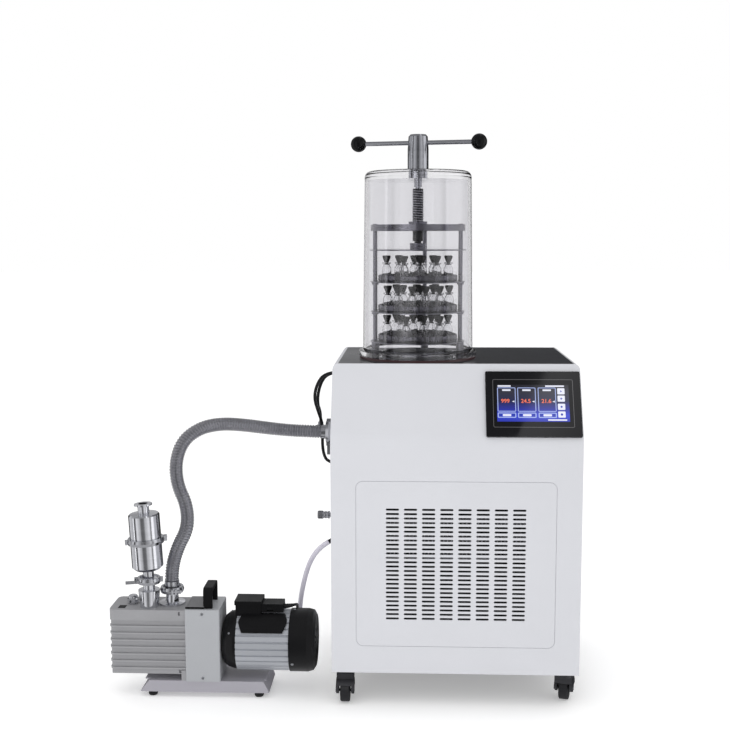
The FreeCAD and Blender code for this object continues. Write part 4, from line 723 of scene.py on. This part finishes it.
# ---- Vials and stoppers ----------------------------------------------------
# Clear tubing vials stand loose in the trays, each with a split butyl stopper
# half set in its neck, so that vapour can leave.
def clear(name, colour, roughness, refraction):
    """See-through stock: it bends light, and lamps reach what stands behind it."""
    material, tree, shader = blank(name)
    clouds = lay(tree, "ShaderNodeGroup", {"Fine": 55, "Broad": 12}, node_tree=grain).outputs["Clouds"]
    duller = (*(part * 0.985 for part in colour), 1)
    settings = {
        "Base Color": mingled(tree, clouds, duller, (*colour, 1)),
        "Roughness": spread(tree, clouds, 0.35, 0.75, roughness, roughness + 0.03),
        "Transmission Weight": 1,
        "IOR": refraction,
    }
    wire(tree, shader, settings)
    passed = (*(part**0.5 for part in colour), 1)
    through = lay(tree, "ShaderNodeBsdfTransparent", {"Color": passed}).outputs[0]
    lamp_ray = lay(tree, "ShaderNodeLightPath").outputs["Is Shadow Ray"]
    both = lay(tree, "ShaderNodeMixShader", {0: lamp_ray, 1: shader.outputs[0], 2: through})
    tree.links.new(both.outputs[0], tree.nodes["Material Output"].inputs["Surface"])
    return material


vial_glass = clear("vial_glass", (0.985, 0.985, 0.99), 0.01, 1.48)
stopper_butyl = finish(
    "stopper_butyl", (15, 15, 17), 0.5, fine=1800, broad=60, depth=0.00003, tone=0.15, dust=0,
    shine=0.15,
)


def middles(node):
    """The middle of each loose solid in a CAD node, and the foot it stands on."""
    form = bmesh.new()
    form.from_mesh(nodes[node].data)
    bmesh.ops.remove_doubles(form, verts=form.verts, dist=1e-5)
    waiting, found = set(form.verts), []
    while waiting:
        piece, edge = set(), [waiting.pop()]
        while edge:
            corner = edge.pop()
            piece.add(corner)
            near = {link.other_vert(corner) for link in corner.link_edges} & waiting
            waiting -= near
            edge.extend(near)
        xs, ys, zs = ([corner.co[axis] for corner in piece] for axis in range(3))
        found.append(((min(xs) + max(xs)) / 2, (min(ys) + max(ys)) / 2, min(zs)))
    form.free()
    return sorted(tuple(round(value, 5) for value in middle) for middle in found)


vial_radius = 0.011
vial_outside = [
    (0, 0.0006), (0.008, 0), (0.0102, 0.0003), (vial_radius, 0.0014), (vial_radius, 0.0268),
    (0.0106, 0.0292), (0.0092, 0.0318), (0.0078, 0.0338), (0.0074, 0.0352), (0.0074, 0.0376),
    (0.0094, 0.0382), (0.01, 0.0392), (0.01, 0.0408), (0.0094, 0.0418), (0.0075, 0.042),
]
vial_inside = [
    (0.0062, 0.0416), (0.006, 0.0405), (0.006, 0.0352), (0.0064, 0.0338), (0.0082, 0.0308),
    (0.0096, 0.0284), (0.0098, 0.0262), (0.0098, 0.0024), (0.0088, 0.0014), (0, 0.0018),
]
vial_pattern = solid("vial_pattern", spun(vial_outside + vial_inside, steps=28), vial_glass, 80)
stopper_outside = [
    (0, 0.0384), (0.0032, 0.0382), (0.0040, 0.0388), (0.0044, 0.0400), (0.0044, 0.0424),
    (0.0060, 0.0440), (0.0072, 0.0478), (0.0088, 0.0514), (0.0095, 0.0534), (0.0095, 0.056),
    (0.009, 0.057), (0.0078, 0.0574), (0.007, 0.0568), (0.0045, 0.0566), (0, 0.0566),
]
stopper_pattern = solid("stopper_pattern", spun(stopper_outside, steps=24), stopper_butyl, 50)
for made in (vial_pattern, stopper_pattern):
    bpy.context.collection.objects.unlink(made)
vial_feet = middles("vials")
for name, made, material, node, slot in (
    ("tubing_vials", vial_pattern, vial_glass, "vials", "vial_glass"),
    ("butyl_stoppers", stopper_pattern, stopper_butyl, "stoppers", "stopper_rubber"),
):
    stand = spots(f"{name}_places", [(place, (0, 0, 1)) for place in vial_feet])
    belongs(made_by(fastened, name, stand, material, {"Pattern": made}), "machine", slot, node)

# ---- Seal and bell jar -----------------------------------------------------
# The jar is a thick acrylic bell with a turned foot. It stands on a square
# cut seal of dark red silicone, and only its weight and the vacuum hold it.
seal_silicone = finish(
    "seal_silicone", (58, 30, 34), 0.42, fine=1200, broad=30, depth=0.00003, tone=0.12
)
jar_acrylic = clear("jar_acrylic", (0.83, 0.827, 0.846), 0.008, 1.49)
coated(seal_silicone, "jar_seal")
coated(jar_acrylic, "bell_jar")

# ---- Press: bushing, handle, screw and plate -------------------------------
# A turned bushing in the jar's crown carries the hub; its bar ends in black
# balls. Inside, the hub turns a screw whose plate pushes the stoppers home.
polished_steel = finish(
    "polished_steel", (220, 221, 225), 0.13, metallic=1, fine=1500, broad=60,
    stretch=(0.03, 0.03, 1), depth=0.00001, tone=0.06, gloss_spread=0.03, dust=0.01,
)
ball_black = finish(
    "ball_black", (12, 12, 13), 0.2, fine=300, broad=40, depth=0.00001, tone=0.1, dust=0, shine=0.18
)
turned_steel = finish(
    "turned_steel", (172, 173, 178), 0.2, metallic=1, fine=1500, broad=60, stretch=(0.03, 0.03, 1),
    depth=0.00001, tone=0.08, dust=0.01,
)
screw_black = finish(
    "screw_black_oxide", (30, 30, 33), 0.32, metallic=0.4, fine=1500, broad=80, tone=0.15
)
thread_steel = finish(
    "thread_crest_steel", (176, 176, 182), 0.3, metallic=1, fine=1500, broad=80, tone=0.15
)
coated(turned_steel, "jar_bushing", "press_handle")
coated(ball_black, "handle_knobs")
coated(rack_steel, "press_plate")
coated(screw_black, "press_screw")

# The thread is a bright ridge wound on the screw, from the rack's head ring up.
threaded, threaded_in, threaded_end = recipe(
    "threaded", {"Core": "Float", "Tall": "Float", "Lead": "Float", "Depth": "Float"}
)
helix_size = {
    "Resolution": 30,
    "Rotations": reckon(threaded, "DIVIDE", threaded_in["Tall"], threaded_in["Lead"]),
    "Start Radius": threaded_in["Core"],
    "End Radius": threaded_in["Core"],
    "Height": threaded_in["Tall"],
}
helix = lay(threaded, "GeometryNodeCurveSpiral", helix_size).outputs[0]
ridge_size = {"Resolution": 6, "Radius": threaded_in["Depth"]}
ridge = lay(threaded, "GeometryNodeCurvePrimitiveCircle", ridge_size).outputs[0]
flank_size = {"Curve": helix, "Profile Curve": ridge, "Fill Caps": True}
flank = lay(threaded, "GeometryNodeCurveToMesh", flank_size).outputs[0]
threaded_end(copies(threaded, threaded_in["Geometry"], flank))
screw_low, screw_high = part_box("press_screw")
screw_core = (screw_high.x - screw_low.x) / 2
thread_low, thread_runout, thread_stand = 1.036, 0.003, 0.0003
thread_size = {
    "Core": screw_core + thread_stand,
    "Tall": screw_high.z - thread_low - thread_runout,
    "Lead": 0.0055,
    "Depth": 0.0012,
}
thread_foot = carrier("press_thread_foot", [(jar_x, jar_y, thread_low)])
press_thread = made_by(threaded, "press_thread", thread_foot, thread_steel, thread_size)
belongs(press_thread, "screw", "polished")

# ---- Fittings on the left side ---------------------------------------------
# The vacuum port, the gauge and the vent valve are turned from stainless and
# zinc; three black glands and the drain spout are screwed in beside them.
cast_zinc = finish(
    "cast_zinc", (190, 191, 195), 0.17, metallic=1, broad=90, depth=0.00004, tone=0.14, dust=0.01
)
coated(polished_steel, "vacuum_port")
coated(cast_zinc, "kf_fittings")
coated(brushed_steel, "vacuum_gauge")
coated(black_moulding, "side_fittings")

# The vent valve's turned body: flange, neck, collar and nose, out of the panel.
valve_profile = [
    (0, 0), (0.010, 0), (0.010, 0.002), (0.0054, 0.003), (0.0054, 0.015), (0.009, 0.0165),
    (0.009, 0.019), (0.0072, 0.020), (0.0086, 0.025), (0.0072, 0.0298), (0.0034, 0.030),
    (0.0034, 0.037), (0, 0.037),
]
valve_form = spun(valve_profile, at_cabinet(-0.270, 0.180, 0.380), (-1, 0, 0), steps=48)
belongs(solid("vent_valve_body", valve_form, cast_zinc), "machine", "stainless")

# The vent knob is knurled straight: fine beads stand side by side round its grip.
knurled, knurled_in, knurled_end = recipe(
    "knurled", {"Round": "Float", "Long": "Float", "Ridges": "Int"}
)
ring_size = {"Resolution": knurled_in["Ridges"], "Radius": knurled_in["Round"]}
ring = lay(knurled, "GeometryNodeCurvePrimitiveCircle", ring_size).outputs[0]
bead_size = {"Vertices": 6, "Radius": 0.0006, "Depth": knurled_in["Long"]}
bead = lay(knurled, "GeometryNodeMeshCylinder", bead_size).outputs["Mesh"]
sideways = {"Geometry": copies(knurled, ring, bead), "Rotation": (0, quarter_turn, 0)}
on_side = lay(knurled, "GeometryNodeTransform", sideways).outputs[0]
knurled_end(copies(knurled, knurled_in["Geometry"], on_side))
knob_low, knob_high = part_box("vent_knob")
knob_round = (knob_high.z - knob_low.z) / 2
knob_spot = carrier("vent_knob_middle", [(knob_low + knob_high) / 2])
knurl_size = {"Round": knob_round - 0.0001, "Long": (knob_high.x - knob_low.x) * 0.72, "Ridges": 32}
knurl = made_by(knurled, "vent_knob_knurl", knob_spot, cast_zinc, knurl_size)
belongs(knurl, "vent", "stainless")
coated(cast_zinc, "vent_knob")

# ---- Pump base, feet, oil case and bracket ---------------------------------
# The base is a folded channel on rubber feet. The oil case is a ribbed
# casting in grey paint, bolted to a machined bracket in a lighter coat.
pump_enamel = finish(
    "pump_base_enamel", (166, 164, 172), 0.36, fine=800, broad=8, depth=0.00003, dust=0.01
)
case_enamel = finish(
    "oil_case_enamel", (151, 151, 154), 0.42, fine=620, broad=10, depth=0.00008, tone=0.04, dust=0.0
)
bracket_enamel = finish(
    "bracket_enamel", (170, 172, 176), 0.36, fine=700, broad=8, depth=0.00004, tone=0.02, dust=0.01
)
foot_rubber = finish(
    "foot_rubber", (24, 24, 26), 0.6, fine=1200, broad=40, tone=0.12, dust=0.01, shine=0.3
)
coated(pump_enamel, "pump_base")
coated(foot_rubber, "pump_feet")
coated(case_enamel, "oil_case")
coated(bracket_enamel, "pump_bracket")
coated(black_moulding, "carry_handle")
coated(polished_steel, "pump_ports", "mist_trap")
pad_grey = finish(
    "handle_pad_rubber", (132, 132, 135), 0.55, fine=1100, broad=30, depth=0.00003, tone=0.06,
    dust=0,
)

# The carry handle's pad has a row of fine rubber ribs, each from front to back.
ribbed, ribbed_in, ribbed_end = recipe("ribbed", {"Long": "Float", "Wide": "Float", "Ribs": "Int"})
rib_size = vector(ribbed, X=0.0021, Y=ribbed_in["Long"], Z=0.0012)
one_rib = lay(ribbed, "GeometryNodeMeshCube", {"Size": rib_size}).outputs["Mesh"]
rib_step = vector(ribbed, X=reckon(ribbed, "DIVIDE", ribbed_in["Wide"], ribbed_in["Ribs"]))
rib_row = lay(ribbed, "GeometryNodeMeshLine", {"Count": ribbed_in["Ribs"], "Offset": rib_step})
rib_set = copies(ribbed, rib_row.outputs[0], one_rib)
ribbed_end(copies(ribbed, ribbed_in["Geometry"], rib_set))
pad_corner = carrier("handle_pad_corner", [at_cabinet(-0.5955, 0.062, 0.2072)])
pad_size = {"Long": 0.072, "Wide": 0.042, "Ribs": 17}
handle_ribs = made_by(ribbed, "handle_pad_ribs", pad_corner, pad_grey, pad_size)
belongs(handle_ribs, "machine", "black_plastic")

# A small black plate lies on top of the oil case, its edges broken.
plate_low, plate_high = at_cabinet(-0.751, 0.034, 0.1990), at_cabinet(-0.735, 0.052, 0.2008)
plate_middle = Matrix.Translation((plate_low + plate_high) / 2)
plate_size = Matrix.Diagonal((*(plate_high - plate_low), 1))
form = bmesh.new()
bmesh.ops.create_cube(form, size=1, matrix=plate_middle @ plate_size)
bmesh.ops.bevel(form, geom=form.edges, offset=0.0004, segments=1, affect="EDGES")
belongs(solid("case_top_plate", form, black_moulding), "machine", "black_plastic")

socket_screw = screw_pattern("bracket_screw", 0.0034, 0.0016)
bracket_low, bracket_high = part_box("pump_bracket")
bracket_middle = (bracket_low.x + bracket_high.x) / 2
bracket_spots = [
    ((bracket_middle, bracket_low.y, height), (0, -1, 0))
    for height in (bracket_high.z - 0.010, bracket_low.z + 0.008)
]
screws("bracket_screws", socket_screw, "machine", bracket_spots)

# ---- Motor -----------------------------------------------------------------
# A finned aluminium body between a black cast bell and a drawn black cover.
# The black saddle, terminal box and switch housing are one moulding on top.
fluted_aluminium = finish(
    "fluted_aluminium", (190, 193, 199), 0.42, metallic=0.6, fine=1200, broad=30,
    stretch=(0.06, 1, 1), tone=0.06,
)
motor_black = finish(
    "motor_black_paint", (13, 13, 15), 0.38, fine=1100, broad=16, depth=0.00005, tone=0.1,
    dust=0.01, shine=0.25,
)
coated(fluted_aluminium, "motor_body")
coated(motor_black, "motor_bell", "fan_cover")
coated(black_moulding, "motor_box", "pump_switch", "motor_fan")
cover_low, cover_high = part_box("fan_cover")
motor_y = (cover_low.y + cover_high.y) / 2
motor_z = (cover_low.z + cover_high.z) / 2
cover_round = (cover_high.z - cover_low.z) / 2 * 0.999


def round_motor(x, reach, angles):
    """A place and an outward direction round the motor's axis for each angle up from the front."""
    ways = [(0, -math.cos(math.radians(turn)), math.sin(math.radians(turn))) for turn in angles]
    return [((x, motor_y + reach * way[1], motor_z + reach * way[2]), way) for way in ways]


# Three screws hold the fan cover, and three smaller ones the end bell.
cover_spots = round_motor(cover_low.x + 0.008, cover_round, (-30, 210, 90))
screws("fan_cover_screws", socket_screw, "machine", cover_spots)
bell_screw = screw_pattern("bell_screw", 0.0023, 0.0012)
bell_spots = round_motor(cabinet_x - 0.500, 0.0655, (30, 90, 150))
screws("motor_bell_screws", bell_screw, "machine", bell_spots)


# ---- Vacuum hose -----------------------------------------------------------
# Stainless bellows hose, stiff enough to stand in a curve between the port
# and the pump. Its corrugations are rolled, about six millimetres apart.
def centreline(name, route):
    """A cord's own smooth line, through the points of its route."""
    curve = bpy.data.curves.new(name, "CURVE")
    curve.dimensions = "3D"
    curve.resolution_u = 8
    spline = curve.splines.new("NURBS")
    spline.points.add(len(route) - 1)
    for spot, point in zip(spline.points, route):
        spot.co = (*point, 1)
    spline.order_u = 3
    spline.use_endpoint_u = True
    return placed(name, curve)


def along(*points):
    """A cord's route, exit first, its points counted as at_cabinet counts them."""
    return [at_cabinet(*point) for point in points]


hose_route = along(
    (-0.307, 0.220, 0.569), (-0.337, 0.219, 0.570), (-0.390, 0.211, 0.574),
    (-0.436, 0.195, 0.582), (-0.482, 0.173, 0.592), (-0.528, 0.150, 0.599),
    (-0.571, 0.124, 0.595), (-0.610, 0.102, 0.570), (-0.625, 0.086, 0.523),
    (-0.620, 0.077, 0.472), (-0.598, 0.073, 0.425), (-0.597, 0.071, 0.374),
    (-0.622, 0.073, 0.329), (-0.636, 0.072, 0.280), (-0.636, 0.072, 0.253),
)
hose_steel = finish(
    "hose_stainless", (172, 172, 177), 0.24, metallic=1, broad=50, tone=0.08, dust=0
)
bellows, bellows_in, bellows_end = recipe(
    "bellows", {"Radius": "Float", "Depth": "Float", "Pitch": "Float", "Around": "Int"}
)
line = lay(bellows, "GeometryNodeMeshToCurve", {"Mesh": bellows_in["Geometry"]}).outputs[0]
evenly = {"Curve": line, "Length": reckon(bellows, "DIVIDE", bellows_in["Pitch"], 8.0)}
even = lay(bellows, "GeometryNodeResampleCurve", evenly, mode="LENGTH").outputs[0]
gone = lay(bellows, "GeometryNodeSplineParameter").outputs["Length"]
phase = reckon(bellows, "MULTIPLY", reckon(bellows, "DIVIDE", gone, bellows_in["Pitch"]), math.tau)
wave = reckon(bellows, "MULTIPLY", reckon(bellows, "SINE", phase), bellows_in["Depth"])
mean_radius = reckon(bellows, "SUBTRACT", bellows_in["Radius"], bellows_in["Depth"])
swell = reckon(bellows, "ADD", mean_radius, wave)
unit_round = {"Resolution": bellows_in["Around"], "Radius": 1.0}
round_section = lay(bellows, "GeometryNodeCurvePrimitiveCircle", unit_round).outputs[0]
swept = {"Curve": even, "Profile Curve": round_section, "Scale": swell, "Fill Caps": True}
bellows_end(lay(bellows, "GeometryNodeCurveToMesh", swept).outputs[0])


def centre_points(cord):
    """A cord's line as Blender draws it, with no thickness, and the points on it."""
    drawn = worked_out(cord)
    return drawn, [corner.co.copy() for corner in drawn.vertices]


hose_line = centreline("vacuum_hose_line", hose_route)
hose_thread, hose_points = centre_points(hose_line)
bpy.data.objects.remove(hose_line)
hose_radius = 0.0155
hose_size = {"Radius": hose_radius, "Depth": 0.0013, "Pitch": 0.0062, "Around": 40}
vacuum_bellows = made_by(bellows, "vacuum_hose_bellows", hose_thread, hose_steel, hose_size)
belongs(vacuum_bellows, "machine", "hose_steel", "vacuum_hose")

# ---- Signal cables ---------------------------------------------------------
# Two round black cables leave their glands together and hang down behind the
# hose: one goes back into the panel, the other into the top of the gauge.
sheath_black = finish(
    "sheath_black", (20, 20, 22), 0.4, fine=1500, broad=60, tone=0.1, dust=0.02, shine=0.3
)


def sheathed(name, route, radius, material, slot, node):
    """A round cord on its own line, which stands for its CAD solid."""
    cord = centreline(name, route)
    cord.data.bevel_depth = radius
    cord.data.bevel_resolution = 5
    cord.data.use_fill_caps = True
    cord.data.materials.append(material)
    return belongs(cord, "machine", slot, node)


signal_route = along(
    (-0.278, 0.200, 0.711), (-0.300, 0.200, 0.708), (-0.317, 0.201, 0.681),
    (-0.323, 0.208, 0.650), (-0.316, 0.224, 0.618), (-0.308, 0.241, 0.589),
    (-0.307, 0.250, 0.563), (-0.308, 0.246, 0.536), (-0.304, 0.233, 0.514),
    (-0.295, 0.222, 0.498), (-0.278, 0.220, 0.495),
)
gauge_route = along(
    (-0.278, 0.214, 0.709), (-0.294, 0.214, 0.705), (-0.308, 0.217, 0.685),
    (-0.316, 0.224, 0.655), (-0.317, 0.238, 0.630), (-0.315, 0.262, 0.615),
    (-0.314, 0.276, 0.600), (-0.314, 0.276, 0.583),
)
cable_radius = 0.0036
for node, route, length in (
    ("signal_cable", signal_route, 0.268),
    ("gauge_cable", gauge_route, 0.163),
):
    cable = sheathed(f"{node}_sheath", route, cable_radius, sheath_black, "cable_black", node)

# ---- Drain tube ------------------------------------------------------------
# Milky silicone tube, pushed over the spout. It hangs behind the motor and
# its cut end lies on the floor behind the pump.
tube_silicone, tube_tree, tube_shader = blank("tube_silicone")
tube_skin = lay(tube_tree, "ShaderNodeGroup", {"Fine": 400, "Broad": 40}, node_tree=grain)
milky, clearer = (*swatch(214, 210, 222), 1), (*swatch(228, 226, 236), 1)
tube_settings = {
    "Base Color": mingled(tube_tree, tube_skin.outputs["Clouds"], milky, clearer),
    "Roughness": 0.22,
    "IOR": 1.4,
    "Subsurface Weight": 0.35,
    "Subsurface Radius": (0.004, 0.004, 0.004),
}
wire(tube_tree, tube_shader, tube_settings)
drain_route = along(
    (-0.290, 0.200, 0.310), (-0.309, 0.200, 0.298), (-0.328, 0.199, 0.275),
    (-0.341, 0.199, 0.246), (-0.350, 0.198, 0.213), (-0.357, 0.199, 0.178),
    (-0.361, 0.199, 0.140), (-0.364, 0.201, 0.100), (-0.365, 0.208, 0.062),
    (-0.366, 0.226, 0.030), (-0.366, 0.252, 0.010), (-0.367, 0.284, 0.006),
    (-0.363, 0.316, 0.006),
)
drain_radius = 0.0058
drain = sheathed(
    "drain_tube_wall", drain_route, drain_radius, tube_silicone, "tube_clear", "drain_tube"
)

# ---- Pump lead -------------------------------------------------------------
# The mains lead folds back over the motor, hangs behind it and lies in a tied
# coil on the floor behind the pump, with its plug beside it.
lead_points = [
    (-0.382, 0.072, 0.196), (-0.369, 0.073, 0.197), (-0.359, 0.084, 0.196),
    (-0.356, 0.105, 0.190), (-0.358, 0.126, 0.176), (-0.361, 0.145, 0.152),
    (-0.365, 0.156, 0.125), (-0.373, 0.165, 0.097), (-0.383, 0.177, 0.064),
    (-0.392, 0.194, 0.036), (-0.401, 0.219, 0.015), (-0.407, 0.246, 0.006),
]
# The coil winds in for two turns, climbs, and winds out again over itself.
coil_x, coil_y, coil_outer, coil_inner = -0.462, 0.278, 0.053, 0.0374
coil_low, coil_gap, coil_spiral, coil_climb = 0.0047, 0.0078, 24, 4
for step in range(2 * coil_spiral + coil_climb + 1):
    inward = min(step, coil_spiral) / coil_spiral
    outward = max(step - coil_spiral - coil_climb, 0) / coil_spiral
    reach = coil_outer + (coil_inner - coil_outer) * (inward - outward)
    lift = coil_low + coil_gap * min(max(step - coil_spiral, 0), coil_climb) / coil_climb
    angle = math.radians(30 * step)
    lead_points.append((coil_x + reach * math.cos(angle), coil_y + reach * math.sin(angle), lift))
lead_points += [(-0.511, 0.309, 0.012), (-0.533, 0.304, 0.0105), (-0.552, 0.304, 0.010)]
lead_route = along(*lead_points)
lead_radius = 0.0033
lead_line = centreline("pump_lead_line", lead_route)
lead_drawn = centre_points(lead_line)[1]
bpy.data.objects.remove(lead_line)
lead = sheathed("pump_lead_sheath", lead_route, lead_radius, sheath_black, "cable_black", "pump_lead")
coated(black_moulding, "lead_plug")
coated(sheath_black, "lead_tie")

# Strain relief: a tapered sleeve on the first of the lead, with cut rings.
sleeve_long, sleeve_thick, sleeve_taper, cut_depth, sleeve_sides = 0.021, 0.0056, 0.0019, 0.0003, 20
sleeve_form = bmesh.new()
rings, gone_by = [], 0.0
for here, after in zip(lead_drawn, lead_drawn[1:]):
    if gone_by > sleeve_long:
        break
    share = gone_by / sleeve_long
    sleeve_round = sleeve_thick - sleeve_taper * share + (cut_depth if len(rings) % 2 else 0)
    square = (after - here).to_track_quat("Z", "Y").to_matrix()
    turns = [math.tau * step / sleeve_sides for step in range(sleeve_sides)]
    flat_ring = [Vector((math.cos(turn), math.sin(turn), 0)) * sleeve_round for turn in turns]
    rings.append([sleeve_form.verts.new(here + square @ corner) for corner in flat_ring])
    gone_by += (after - here).length
for lower, upper in zip(rings, rings[1:]):
    for n in range(sleeve_sides):
        after = (n + 1) % sleeve_sides
        sleeve_form.faces.new((lower[n], lower[after], upper[after], upper[n]))
sleeve_form.faces.new(list(reversed(rings[0])))
sleeve_form.faces.new(rings[-1])
belongs(solid("lead_strain_relief", sleeve_form, sheath_black, 60), "machine", "cable_black")

# ---- Studio ----------------------------------------------------------------
# A pale floor without an edge, soft light from all round, and the camera.
# Bright sheets and dark gaps stand round the object for its steel to mirror.
floor_mesh = bpy.data.meshes.new("studio_floor")
floor_mesh.from_pydata([(-30, -30, 0), (30, -30, 0), (30, 30, 0), (-30, 30, 0)], [], [(0, 1, 2, 3)])
floor = placed("studio_floor", floor_mesh)
floor.location.z = -0.0004
floor_paint, floor_tree, floor_shader = blank("studio_floor_paint")
floor_settings = {
    "Base Color": (0.93, 0.93, 0.93, 1),
    "Roughness": 0.9,
    "Specular IOR Level": 0.1,
    "Emission Color": (1, 1, 1, 1),
    "Emission Strength": 0.28,
}
wire(floor_tree, floor_shader, floor_settings)
floor_mesh.materials.append(floor_paint)
floor.visible_glossy = False
floor.visible_transmission = False

air = bpy.data.worlds.new("studio_air")
bpy.context.scene.world = air
air.use_nodes = True
air_tree = air.node_tree
away = lay(air_tree, "ShaderNodeTexCoord").outputs["Generated"]
axes = lay(air_tree, "ShaderNodeSeparateXYZ", {0: away}).outputs
toward = reckon(air_tree, "MULTIPLY", axes["Y"], -1.0)
round_about = reckon(air_tree, "ARCTAN2", axes["X"], toward)
place_round = spread(air_tree, round_about, -math.pi, math.pi)
sheet_stops = (
    (0.0, 0.50), (0.045, 0.48), (0.07, 0.08), (0.14, 0.06), (0.17, 0.75), (0.24, 0.60),
    (0.285, 0.55), (0.30, 1.9), (0.315, 0.05), (0.34, 0.10), (0.37, 0.95), (0.43, 0.62),
    (0.475, 0.15), (0.52, 0.17), (0.56, 0.62), (0.63, 0.95), (0.665, 0.16), (0.69, 1.3),
    (0.78, 1.2), (0.82, 0.05), (0.95, 0.03), (1.0, 0.06),
)
greys = [(place, (bright, bright, bright * 1.02)) for place, bright in sheet_stops]
sheets = ramp(air_tree, place_round, greys, interpolation="EASE")
overhead = spread(air_tree, axes["Z"], 0.25, 0.75)
mirrored = mingled(air_tree, overhead, sheets, (0.34, 0.34, 0.35, 1))

# High up hangs a slanting window with one sharp edge and one soft one.
window_slant, window_start, window_bright = 0.633, 0.36, (1.8, 1.8, 1.84, 1)
slanted = reckon(air_tree, "MULTIPLY", axes["Z"], window_slant)
past_edge = reckon(air_tree, "ADD", reckon(air_tree, "SUBTRACT", axes["X"], slanted), window_start)
sharp, soft = spread(air_tree, past_edge, 0, 0.002), spread(air_tree, past_edge, 0.02, 0.12, 1, 0)
window = reckon(air_tree, "MULTIPLY", reckon(air_tree, "MULTIPLY", sharp, soft), overhead)
mirrored = mingled(air_tree, window, mirrored, window_bright)

below = spread(air_tree, axes["Z"], -0.45, -0.75)
mirrored = mingled(air_tree, below, mirrored, (0.6, 0.6, 0.61, 1))

# Steel mirrors the sheets, clear walls let white through from behind, the
# camera sees white, and everything else is lit by a soft sky.
soft_sky = spread(air_tree, axes["Z"], -0.1, 0.9, 0.76, 0.90)
sky = vector(air_tree, X=soft_sky, Y=soft_sky, Z=soft_sky)
path = lay(air_tree, "ShaderNodeLightPath").outputs
seen = mingled(air_tree, path["Is Glossy Ray"], sky, mirrored)
behind = spread(air_tree, axes["Y"], -0.25, 0.05)
seen_through = mingled(air_tree, behind, mirrored, (1, 1, 1, 1))
seen = mingled(air_tree, path["Is Transmission Ray"], seen, seen_through)
seen = mingled(air_tree, path["Is Camera Ray"], seen, (1, 1, 1, 1))
air_tree.links.new(seen, air_tree.nodes["Background"].inputs["Color"])
bpy.context.scene.view_settings.view_transform = "Standard"


def soft_light(name, place, aim, width, height, power):
    """A large soft box that faces a point."""
    lamp = bpy.data.lights.new(name, "AREA")
    lamp.shape = "RECTANGLE"
    lamp.size, lamp.size_y, lamp.energy = width, height, power
    box = placed(name, lamp)
    box.location = place
    box.rotation_euler = (Vector(aim) - Vector(place)).to_track_quat("-Z", "Y").to_euler()
    box.visible_glossy = False


soft_light("top_light", (-0.2, -0.8, 3.4), (0, 0, 0.6), 2.6, 2.0, 9)
soft_light("front_light", (-1.0, -3.0, 0.7), (0, 0, 0.5), 2.0, 1.4, 12)

camera_data = bpy.data.cameras.new("studio_camera")
camera_data.sensor_width = 36
camera_data.lens = 54.25
camera = placed("studio_camera", camera_data)
camera_spot = Matrix.Translation((cabinet_x - 0.0883, cabinet_y - 2.3186, 1.0216))
pan = Matrix.Rotation(math.radians(2.63), 4, "Z")
tilt = Matrix.Rotation(math.radians(90 - 6.62), 4, "X")
roll = Matrix.Rotation(math.radians(-0.15), 4, "Z")
camera.matrix_world = camera_spot @ pan @ tilt @ roll
bpy.context.scene.camera = camera
